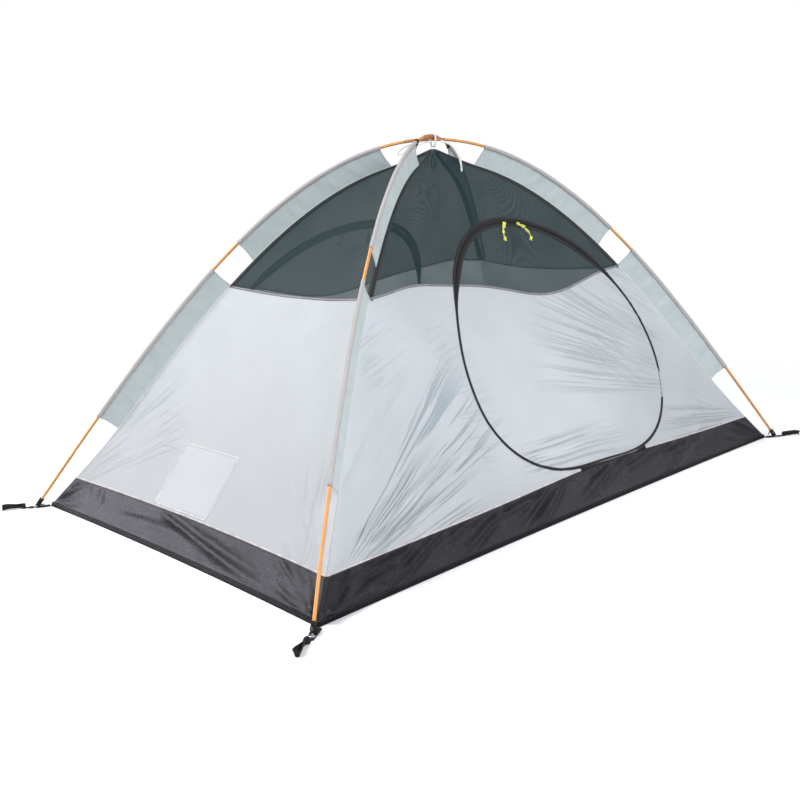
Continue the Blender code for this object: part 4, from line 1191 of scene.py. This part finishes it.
def add_seams(name):
    """Piping where net meets fabric, dark bindings on the net's ridges, the tub's pale seam."""
    side = SIDES[name]
    reach, base = (float(side.half(u)) - 0.002 for u in (MESH_U, TUB_U))
    runs = [(BODY, "", -reach, reach)]
    if side.long:
        hole, leaf = ([outline(a, off(a))[0] for a in seam_angles(side, off)] for off in (hole_off, leaf_off))
        runs = [(BODY, "_left", -reach, hole[0] - 0.002), (BODY, "_right", hole[1] + 0.002, reach)]
        runs.append((f"{name}_door", "_door", leaf[0] + 0.002, leaf[1] - 0.002))
    for body, part, start, end in runs:
        place, path = (side, body, "mesh"), np.array(side.seam_edge(start, end, 0.0))
        add_strip(f"{name}_seam{part}", "piping", place, path, (-0.0034, 0.0034), (-0.0008, 0.0013), 4)
        add_stitching(f"{name}_seam_stitching{part}", place, offset(path, 0.0022), 0.0013)
    u = np.linspace(0.02, MESH_U, 110)
    width = 0.009 + 0.004 * smooth(0.0, 0.3, u)
    place = (side, BODY, "mesh")
    for hand, sign, across in (("left", -1, (-width, 0.0)), ("right", 1, (0.0, width))):
        path = np.stack([sign * (side.half(u) - 0.0006), side.v_of(u)], -1)
        add_strip(f"{name}_ridge_binding_{hand}", "binding", place, path, across, (-0.0008, 0.0012), 3)
        add_stitching(f"{name}_ridge_stitching_{hand}", place, offset(path, sign * width * 0.8), 0.0012)
    path = np.array(side.tub_edge(-base, base, 0.0))
    place = (side, BODY, "wall_fabric")
    add_strip(f"{name}_tub_seam", "tub_seam", place, path, (-0.0022, 0.0022), (-0.0008, 0.0016), 2)
    place = (side, BODY, "tub_fabric")
    add_stitching(f"{name}_tub_stitching", place, offset(path, 0.0050), 0.0006, 0.0045)


def add_hem(name):
    """The bound hem along the foot of one side, with a row of stitches."""
    side = SIDES[name]
    place = (side, BODY, "tub_fabric")
    reach = float(side.half(1.0)) - 0.004
    a = np.linspace(-reach, reach, round(2 * reach / 0.008))
    path = np.stack([a, np.full(len(a), side.ground_v + 0.0075)], -1)
    add_strip(f"{name}_hem", "hem", place, path, (-0.0070, 0.0066), (-0.0006, 0.0016), 3)
    add_stitching(f"{name}_hem_stitching", place, offset(path, -0.0050), 0.0016)


# ------------------------------------------------------------------ tub floor


def add_tub():
    """The tub: walls with folds that turn in to the floor, one continuous sheet."""
    rings, uv = [], []
    for share in np.linspace(0.0, 1.0, 17):
        ring, flat = [], []
        start = 0.0
        for side in (SIDES[name] for name in ("front", "east", "rear", "west")):
            full = float(side.half(1.0))
            columns = round(2 * full / 0.0085)
            s = -1 + 2 * np.arange(columns) / columns
            top = side.tub_line(s * side.half(TUB_U))
            v = top + (side.ground_v - top) * share
            points = side.skin(s * side.half(side.u_of(v)), v)
            points[:, 2] = np.maximum(points[:, 2], 0.0006)
            ring.append(points)
            flat.append(np.stack([start + s * full, v], -1))
            start += 2 * full
        rings.append(np.concatenate(ring))
        uv.append(np.concatenate(flat))
    edge = rings[-1]
    for share in (0.985, 0.95, 0.90, 0.84, 0.76, 0.68, 0.6, 0.5, 0.4, 0.3, 0.2, 0.1, 0.01):
        inner = edge * share
        swell = 0.0030 * np.sin(9 * inner[:, 0] + 2) * np.sin(11 * inner[:, 1]) * (1 - share**6)
        inner[:, 2] = 0.0008 + np.abs(swell)
        rings.append(inner)
        uv.append(inner[:, :2])
    count, last = len(edge), (len(rings) - 1) * len(edge)
    faces = [(a, d, c, b) for a, b, c, d in tube_faces(len(rings), count, caps=False)]
    faces.append(tuple(range(last + count - 1, last - 1, -1)))
    obj = add_mesh("tub_sheet", np.concatenate(rings), faces, "tub", np.concatenate(uv))
    fix(obj, BODY, ["tub_floor"])


# ------------------------------------------------------------------ sleeves and poles


def add_sleeve(corner, level):
    """A fin from the ridge seam up to the pole: a web with ripples and a tunnel in painted shade, tinted by
    the pole.
    """
    low, high = SLEEVES[level]
    rows, columns = 90, 12
    w = np.linspace(0.0, 1.0, columns + 1)
    lean = 0.016 if level == "upper" else 0.001
    cut_low = low + 0.0012 * np.sin(math.pi * w) - lean * (1 - w)
    cut_high = high - 0.0012 * np.sin(math.pi * w) + 0.003 * (1 - w)
    t = np.linspace(0.0, 1.0, rows)[:, None]
    u = cut_low + (cut_high - cut_low) * t
    pole, seam = pole_line(corner, u), ridge_line(corner, u)
    gap = 1 - TUNNEL_R / np.linalg.norm(pole - seam, axis=-1, keepdims=True)
    web = seam + (pole - seam) * (0.012 + (gap - 0.012) * w[:, None])
    out = unit(np.cross(np.gradient(pole, axis=0), pole - seam))
    shake = 7.0 * CORNERS[corner][0] + 3.0 * CORNERS[corner][1]
    ripple = 0.0016 * np.sin(38 * t + shake) + 0.0010 * np.sin(71 * t - 2.2 * w + shake)
    web = web + out * (np.sin(math.pi * w) * ripple)[..., None]
    flat = np.stack(np.broadcast_arrays(0.06 * w, (high - low) * 1.4 * t), -1)
    index = np.arange(rows * (columns + 1)).reshape(rows, columns + 1)
    shape = Shape()
    for sign in (1, -1):
        shape.add(web + out * WEB_HALF * sign, quads(index, sign > 0), flat)
    shape.faces += rim_faces(index)
    name = f"sleeve_{level}_web_{corner}"
    piece = shape.make(name, "sleeve", BODY, [f"sleeve_{level}_{corner}"])
    add_tunnel(corner, level, low, high)


def quads(index, flip):
    """The faces of a grid of points, given as an array of their numbers."""
    here = index[:-1, :-1], index[:-1, 1:], index[1:, 1:], index[1:, :-1]
    faces = np.stack([part.ravel() for part in here], -1)
    return (faces[:, ::-1] if flip else faces).tolist()


def rim_faces(index):
    """Faces round the edge that join two layers of a grid."""
    rim = [*index[0, :-1], *index[:-1, -1], *index[-1, :0:-1], *index[:0:-1, 0]]
    pairs = zip(map(int, rim), map(int, rim[1:] + rim[:1]))
    return [(here, here + index.size, following + index.size, following) for here, following in pairs]


def add_tunnel(corner, level, low, high):
    """The tube of cloth that the pole runs in, open at both ends, and its row of stitches."""
    u = np.linspace(low, high, 70)
    path = pole_line(corner, u)
    hint = unit(ridge_line(corner, u) - path)
    count = 20
    outer = np.stack([circle(TUNNEL_R, count, 0.92) * (1 + 0.05 * np.sin(60 * k + 2.0)) for k in u])
    shape = Shape()
    sweep(shape, path, hint, outer, caps=False)
    sweep(shape, path, hint, circle(TUNNEL_R - 0.0011, count, 0.94)[::-1], caps=False)
    last, shift = (len(u) - 1) * count, len(u) * count
    for j in range(count):
        following = (j + 1) % count
        mine, theirs = shift + count - 1 - j, shift + (count - 1 - following)
        shape.faces.append((following, j, mine, theirs))
        shape.faces.append((last + j, last + following, last + theirs, last + mine))
    shape.make(f"sleeve_{level}_tunnel_{corner}", "tunnel", BODY)
    shape = Shape()
    out = unit(np.cross(np.gradient(path, axis=0), hint))
    for sign in (-1, 1):
        stitches(shape, path + hint * (TUNNEL_R + 0.003) + out * sign * WEB_STITCH, out * sign, 0.0045)
    shape.make(f"sleeve_{level}_stitching_{corner}", "thread_pale", BODY)


def add_pole(pole, start, end):
    """Four anodised sections with a ferrule at each joint."""
    for number, (low, high) in enumerate(zip(POLE_JOINTS, POLE_JOINTS[1:]), 1):
        path = pole_line(start if high <= 0 else end, np.linspace(abs(low), abs(high), 60))
        nodes = [f"{pole}_pole_section_{number}"]
        add_swept(f"{pole}_pole_{number}", "pole", path, -UP, circle(POLE_R, 20), nodes)
    shape = Shape()
    thick = 0.0011 if pole == "upper" else 0.0004
    swell = thick * np.array([0.0, 0.8, *[1.0] * 10, 0.8, 0.0])
    profile = np.stack([circle(POLE_R + 0.00005 + k, 20) for k in swell])
    ferrules = ((start, 0.0, 0.078), (end, 0.0, 0.030), (start, 0.560, 0.590), (end, 0.560, 0.590))
    for corner, low, high in ferrules:
        sweep(shape, pole_line(corner, np.linspace(low, high, len(swell))), -UP, profile)
    shape.make(f"{pole}_pole_ferrules", "ferrule", BODY)


# ------------------------------------------------------------------ corners


def corner_axes(corner):
    """Away from the tent's middle at this corner, and to the left of that."""
    sign_x, sign_y = CORNERS[corner]
    outward = np.array([sign_x * POLE_FOOT_X, sign_y * POLE_FOOT_Y, 0.0]) / REACH
    return outward, np.array([-outward[1], outward[0], 0.0])


def plate(shape, outer, inner, low, high, outward, sideways):
    """A flat plate with one hole. Its outline and the hole have equal counts of points."""
    edge = 0.0003

    def ring(flat, grow, z):
        flat = flat + unit(flat - flat.mean(0)) * grow
        return outward * flat[:, :1] + sideways * flat[:, 1:] + UP * z

    rings = [ring(inner, edge, low), ring(outer, -edge, low), ring(outer, 0, low + edge)]
    rings += [ring(outer, 0, high - edge), ring(outer, -edge, high), ring(inner, edge, high)]
    rings += [ring(inner, 0, high - edge), ring(inner, 0, low + edge)]
    shape.add(np.concatenate(rings), tube_faces(8, len(outer), closed=True))


def rounded_box(x0, x1, half, corner, turns):
    """The outline of a strap, counter-clockwise, with one point at each of these angles."""
    c, s = np.cos(turns), np.sin(turns)
    reach_x = (x1 - x0) / 2 / np.maximum(np.abs(c), 1e-6)
    reach_y = half / np.maximum(np.abs(s), 1e-6)
    r = (reach_x**-corner + reach_y**-corner) ** (-1 / corner)
    return np.stack([(x0 + x1) / 2 + r * c, r * s], -1)


def add_corner(corner):
    """Strap with its eyelet, metal tip, stake loop and knotted cord."""
    outward, sideways = corner_axes(corner)
    start, end = float(np.hypot(*ridge(1.0)[:2])) + 0.0004, REACH + STRAP_PAST
    turns = full_turn(32, 0.5)
    hole = np.stack([REACH + EYELET_R * np.cos(turns), EYELET_R * np.sin(turns)], -1)
    shape = Shape()
    plate(shape, rounded_box(start, end, 0.010, 9, turns), hole, 0.0001, STRAP_TOP, outward, sideways)
    shape.make(f"strap_{corner}", "webbing", BODY, [f"corner_strap_{corner}"])
    ring = np.outer(REACH + 0.0072 * np.cos(turns), outward) + np.outer(0.0072 * np.sin(turns), sideways)
    profile = circle(0.0011, 8, 1.3)
    add_swept(f"eyelet_{corner}", "tip_metal", ring + UP * STRAP_TOP, UP, profile, closed=True)
    add_tip(corner)
    shape = Shape()
    for sign in (-1, 1):
        row = [outward * x + sideways * sign * 0.0085 + UP * STRAP_TOP for x in (start, end)]
        stitches(shape, row, [UP, UP], 0.0035)
    shape.make(f"strap_stitching_{corner}", "thread_dark", BODY)
    add_stake_loop(corner, end + GAP, outward, sideways)
    add_tie_down(corner, outward, sideways)


def add_tip(corner):
    """The metal tip: a stepped collar and a pin with a ball end through the eyelet."""
    top, foot = pole_line(corner, np.array([0.99, 1.0]))
    along, length = unit(foot - top), np.linalg.norm(foot - top) - 0.0024
    steps = [(0.0003, 0.0036), (0.0018, POLE_R), (0.006, POLE_R), (0.0064, 0.0038), (0.0072, 0.0038)]
    steps += [(0.0080, 0.0024), (length * 0.72, 0.0022), (length * 0.78, 0.0016), (length * 0.84, 0.0022)]
    steps += [(length * 0.95, 0.0022), (length, 0.0010)]
    path, profile = [top + along * at for at, _ in steps], [circle(r, 18) for _, r in steps]
    add_swept(f"tip_{corner}", "tip_metal", path, -UP, profile, [f"pole_tip_{corner}"])


def add_stake_loop(corner, near, outward, sideways):
    """A loop of webbing for the stake, standing on its edge, its tab and the cord round its neck."""
    t = np.linspace(0, 1, 90)
    x = near + 0.0078 + (LOOP_LENGTH - 0.0095) * np.sin(math.pi * t) ** 0.62
    y = 0.0088 * np.sin(2 * math.pi * t) * np.sin(math.pi * t) ** 1.5 + 0.0009 * np.cos(math.pi * t)
    z = 0.0080 + 0.0012 * np.sin(3 * math.pi * t + 0.6)
    path = np.outer(x, outward) + np.outer(y, sideways) + np.outer(z, UP)
    tilt = np.outer(0.55 * np.sin(2.2 * math.pi * t), sideways) + UP
    shape = Shape()
    sweep(shape, path, tilt, soft_rectangle(0.0140, 0.0020))
    tab = np.outer(np.linspace(near + 0.0002, near + 0.016, 5), outward) + UP * 0.0008
    sweep(shape, tab, sideways, soft_rectangle(0.0125, 0.0012))
    for reach in (0.0096, 0.0130, 0.0164):
        centre = outward * (near + reach) + UP * 0.0080
        cord_ring(shape, centre, outward, 0.0052 * sideways, 0.0062 * UP, 0.0018)
    add_knot(shape, outward * (near + 0.024) + UP * 0.0085, outward, 0.0052)
    shape.make(f"loop_{corner}", "webbing", f"stake_loop_{corner}", [f"stake_loop_{corner}"])


def add_tie_down(corner, outward, sideways):
    """The cord that lashes the tip to its strap: wraps round the tip, a knot and a loose end."""
    top, foot = pole_line(corner, np.array([0.978, 0.9965]))
    along = unit(foot - top)
    over = np.cross(along, sideways)
    shape = Shape()
    for k in range(7):
        size = 0.0058 + 0.0007 * math.sin(2.1 * k)
        skew = np.outer(0.0009 * np.sin(full_turn(28) + k), along)
        centre = top + (foot - top) * (0.40 + 0.10 * k)
        cord_ring(shape, centre, along, size * sideways, size * over, 0.0015, skew=skew)
    add_knot(shape, foot + sideways * 0.008 + UP * 0.004, sideways, 0.0042)
    t = np.linspace(0, 1, 14)
    end = foot + np.outer(-0.020 * t, outward) + np.outer(0.010 + 0.006 * np.sin(4 * t), sideways)
    end[:, 2] = foot[2] + 0.008 - 0.005 * t
    sweep(shape, end, UP, circle(0.0016, 8))
    shape.make(f"tie_down_{corner}", "webbing", BODY)


# ------------------------------------------------------------------ pocket and apex


def add_pocket():
    """The patch pocket behind the west wall, with its white border."""
    side = SIDES["west"]
    place = (side, BODY, "pocket_fabric")
    left, right, low, high = POCKET
    a, v = np.linspace(left, right, 22), np.linspace(low, high, 22)
    loop = [(x, low) for x in a] + [(right, y) for y in v[1:]]
    loop += [(x, high) for x in a[::-1][1:]] + [(left, y) for y in v[::-1][1:-1]]
    add_panel("pocket_patch", side, loop, "pocket", "inner_pocket", lift=0.0006)
    ring = np.array(loop + loop[:1])
    add_strip("pocket_border", "tie_tape", place, ring, (-0.0018, 0.0012), (0.0003, 0.0014), 2)
    add_stitching("pocket_stitching", place, offset(ring, -0.0045), 0.0009, 0.0045, "thread_pale")


def apex_z():
    """The height where the canopy's ridges meet."""
    return float(ridge(0.0)[2])


def add_tie():
    """The white tape round the crossing, its bow and its hanging end."""
    base, half = apex_z() + 0.0008, 0.0105
    top = POLE_HEIGHT + CROSSING_LIFT + POLE_R + 0.0012 - half * 0.45
    rise = [(-0.0045, base), (-half * 0.95, base + 0.014), (-half, top - 0.004)]
    turn = np.linspace(0.2, math.pi - 0.2, 15)
    over = [(-half * math.cos(t), top + half * 0.55 * math.sin(t)) for t in turn]
    fall = [(-y, z) for y, z in reversed(rise)]
    path, profile = [(0.0, y, z) for y, z in rise + over + fall], soft_rectangle(0.0085, 0.0010)
    add_swept("apex_tape", "tie_tape", path, (1, 0, 0), profile, ["apex_tie"])
    knot = pole_line("rear_west", 0.012) + np.array([-0.002, -0.009, -0.006])
    away = unit(pole_line("rear_west", 0.12) - pole_line("rear_west", 0.02))
    t = np.linspace(0, 1, 40)
    shape = Shape()
    for reach, fall, swing in ((0.105, 0.030, 0.010), (0.072, 0.036, -0.012)):
        path = knot + np.outer(reach * np.sin(math.pi * t) ** 0.8, away)
        path[:, 2] -= fall * np.sin(math.pi * t) ** 2 * (1 - 0.4 * t) - 0.006 * np.sin(2 * math.pi * t)
        path[:, 1] += swing * np.sin(2 * math.pi * t)
        sweep(shape, path, (0.2, 1.0, 0.3), soft_rectangle(0.0052, 0.0010))
    add_knot(shape, knot, np.array([0.8, 0.6, 0.0]), 0.0040)
    shape.make("apex_bow", "tie_tape", BODY)
    add_fin_ties()
    add_tail()


def add_fin_ties():
    """Short black cords that hold two of the upper fins' top ends on the poles."""
    for corner in ("front_west", "rear_east"):
        centre, ahead = pole_line(corner, np.array([0.126, 0.128]))
        along = unit(ahead - centre)
        aside = unit(np.cross(along, UP))
        over = np.cross(along, aside)
        shape = Shape()
        for shift in (-0.0026, 0.0, 0.0026):
            cord_ring(shape, centre + along * shift, along, 0.0058 * aside, 0.0058 * over, 0.0014, 24)
        add_knot(shape, centre - UP * 0.009, along, 0.0036)
        drop = np.linspace(0, 1, 8)
        end = centre + np.outer(0.006 * drop**2, aside) - np.outer(0.008 + 0.018 * drop, UP)
        sweep(shape, end, along, circle(0.0012, 8))
        shape.make(f"fin_tie_{corner}", "webbing", BODY)


def tail_points():
    """The tie's free end, forward of the crossing and down over the front net, as in the CAD part."""
    t = np.linspace(0, 1, 25)
    out = np.sin(math.pi / 2 * t)
    z = apex_z() + 0.018 + 0.005 * np.sin(math.pi * t) - TAIL_FALL * t**1.6
    return np.stack([0.014 + 0.041 * out, -0.018 - 0.050 * out, z], -1)


def add_tail():
    """The tie's hanging end: a flat tape of this width."""
    points, profile = tail_points(), soft_rectangle(TAIL_WIDTH, 0.0018, 0.45)
    nodes = ["apex_tie_tail"]
    tail = add_swept("apex_tail", "tie_tape", points, (0.6, -0.5, 0.6), profile, nodes)


def add_lantern_loop():
    """The loop of tape under the apex that the hook hangs in."""
    low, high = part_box("lantern_loop")
    top, base = high.z, low.z
    turn = np.linspace(0, math.pi, 15)
    bend = [(-0.0055 * math.cos(t), base + 0.0060 - 0.0055 * math.sin(t)) for t in turn]
    route = [(-0.0045, top), (-0.0055, base + 0.0105), *bend, (0.0055, base + 0.0105), (0.0045, top)]
    path, profile = [(0.0, y, z) for y, z in route], soft_rectangle(0.006, 0.0010)
    add_swept("lantern_tape", "loop_tape", path, (1, 0, 0), profile, ["lantern_loop"])


def add_hook():
    """The lantern hook: a closed ring with a gate and moulded shoulders."""
    low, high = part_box("lantern_hook")
    radius = 0.0018
    half = (high.x - low.x) / 2 - radius
    top, base = high.z - radius - half, low.z + radius + half
    turn = np.linspace(0, math.pi, 17)
    upper = [(half * math.cos(t), 0.0, top + half * math.sin(t)) for t in turn]
    lower = [(-half * math.cos(t), 0.0, base - half * math.sin(t)) for t in turn]
    path = np.array(upper + lower)
    thick = 1 + 0.22 * np.cos(2 * full_turn(len(path))) ** 2
    profile = np.stack([circle(radius * min(k, 1.15), 14) for k in thick])
    shape = Shape()
    sweep(shape, path, (0, 1, 0), profile, closed=True)
    gate = [(half, 0.0, top - 0.001), (half, 0.0, base + 0.001)]
    sweep(shape, gate, (0, 1, 0), circle(radius * 1.25, 14))
    shape.make("lantern_ring", "hook_plastic", "lantern_hook", ["lantern_hook"])


# ------------------------------------------------------------------ stage, light and camera


def add_floor():
    """A pale round floor that fades into the background."""
    mesh = bpy.data.meshes.new("ground")
    turns = full_turn(96)
    rim = np.stack([FLOOR_R * np.cos(turns), FLOOR_R * np.sin(turns), np.full(96, -0.0005)], -1)
    mesh.from_pydata(rim.tolist(), [], [tuple(range(96))])
    paint = Paint("ground", (0.93, 0.93, 0.93), 0.9)
    reach = paint.node("ShaderNodeVectorMath", {0: paint.place()}, operation="LENGTH").outputs["Value"]
    fade = {"Value": reach, "From Min": 1.2, "From Max": FLOOR_R * 0.98, "To Min": 1.0, "To Max": 0.0}
    paint.veil(paint.node("ShaderNodeMapRange", fade, interpolation_type="SMOOTHSTEP").outputs["Result"])
    mesh.materials.append(paint.material)
    link("ground", mesh)


def add_lamp(name, place, turn, size, power, colour, hidden_from=()):
    """A round lamp that some kinds of rays pass by."""
    data = bpy.data.lights.new(name, "AREA")
    data.shape, data.size, data.energy, data.color = "DISK", size, power, colour
    lamp = link(name, data)
    lamp.location, lamp.rotation_euler = place, turn
    for rays in hidden_from:
        setattr(lamp, f"visible_{rays}", False)


def add_area(name, direction, distance, size, power, colour, hidden_from=()):
    """A round lamp in this direction from the tent's middle, facing it."""
    towards = Vector(direction).normalized()
    place, turn = towards * distance + Vector((0, 0, 0.4)), towards.to_track_quat("Z", "Y").to_euler()
    add_lamp(name, place, turn, size, power, colour, hidden_from)


def add_light():
    """A sky that is pure white to the camera, four lamps round the tent and one inside."""
    world = bpy.data.worlds.new("studio")
    bpy.context.scene.world = world
    world.use_nodes = True
    nodes, links = world.node_tree.nodes, world.node_tree.links
    sky, plain = nodes["Background"], nodes.new("ShaderNodeBackground")
    for shader, colour, strength in ((sky, (0.93, 0.96, 1.0, 1.0), 0.66), (plain, (1.0, 1.0, 1.0, 1.0), 1.0)):
        shader.inputs["Color"].default_value = colour
        shader.inputs["Strength"].default_value = strength
    path, mix = nodes.new("ShaderNodeLightPath"), nodes.new("ShaderNodeMixShader")
    for number, output in enumerate((path.outputs["Is Camera Ray"], sky.outputs[0], plain.outputs[0])):
        links.new(output, mix.inputs[number])
    links.new(mix.outputs[0], nodes["World Output"].inputs["Surface"])
    add_area("key", (-0.50, 0.28, 0.85), 5.0, 1.6, 182.0, (1.0, 0.985, 0.96))
    add_area("fill", (-0.28, -1.0, 0.50), 4.0, 2.6, 84.0, (0.94, 0.96, 1.0))
    add_area("gleam", (-0.66, 0.70, 0.30), 4.0, 2.8, 140.0, (0.90, 0.88, 1.0), ["diffuse"])
    add_area("glint", (0.62, -0.66, 0.42), 4.0, 1.0, 38.0, (1.0, 1.0, 1.0), ["diffuse"])
    upwards = (math.pi, 0.0, 0.0)
    add_lamp("inside", (0.0, 0.0, 0.06), upwards, 1.0, 1.3, (0.96, 0.98, 1.0), ["camera", "glossy"])


def add_camera():
    """The camera that was fitted to the photo: its turn, tilt, roll, target, distance and lens."""
    azimuth, elevation, roll = (math.radians(angle) for angle in (-44.50, 12.317, -1.504))
    target, distance, lens = Vector((-0.0906, 0.0828, 0.2367)), 3.206, 44.275
    level = math.cos(elevation)
    back = Vector((math.sin(azimuth) * level, -math.cos(azimuth) * level, math.sin(elevation)))
    right = (-back).cross(Vector((0, 0, 1))).normalized()
    up = right.cross(-back)
    across = right * math.cos(roll) + up * math.sin(roll)
    above = up * math.cos(roll) - right * math.sin(roll)
    data = bpy.data.cameras.new("camera")
    data.sensor_width, data.lens = 36.0, lens
    camera = link("camera", data)
    axes = Matrix((across, above, back)).transposed().to_4x4()
    camera.matrix_world = Matrix.Translation(target + back * distance) @ axes
    bpy.context.scene.camera = camera
    bpy.context.scene.view_settings.view_transform = "Standard"


# ------------------------------------------------------------------ build


def build():
    add_tub()
    for name in ("west", "east"):
        add_canopy(name)
    for name in ("front", "rear"):
        add_canopy(name)
        add_door(name)
        add_zip(name)
        add_hinge_seam(name)
        add_gusset(name)
        for hand in SLIDER_AT:
            add_slider(name, hand)
    for name in SIDES:
        add_seams(name)
        add_hem(name)
    for corner in CORNERS:
        for level in SLEEVES:
            add_sleeve(corner, level)
        add_corner(corner)
    add_pole("upper", "front_west", "rear_east")
    add_pole("lower", "rear_west", "front_east")
    add_pocket()
    add_tie()
    add_lantern_loop()
    add_hook()
    add_floor()
    add_light()
    add_camera()


build()
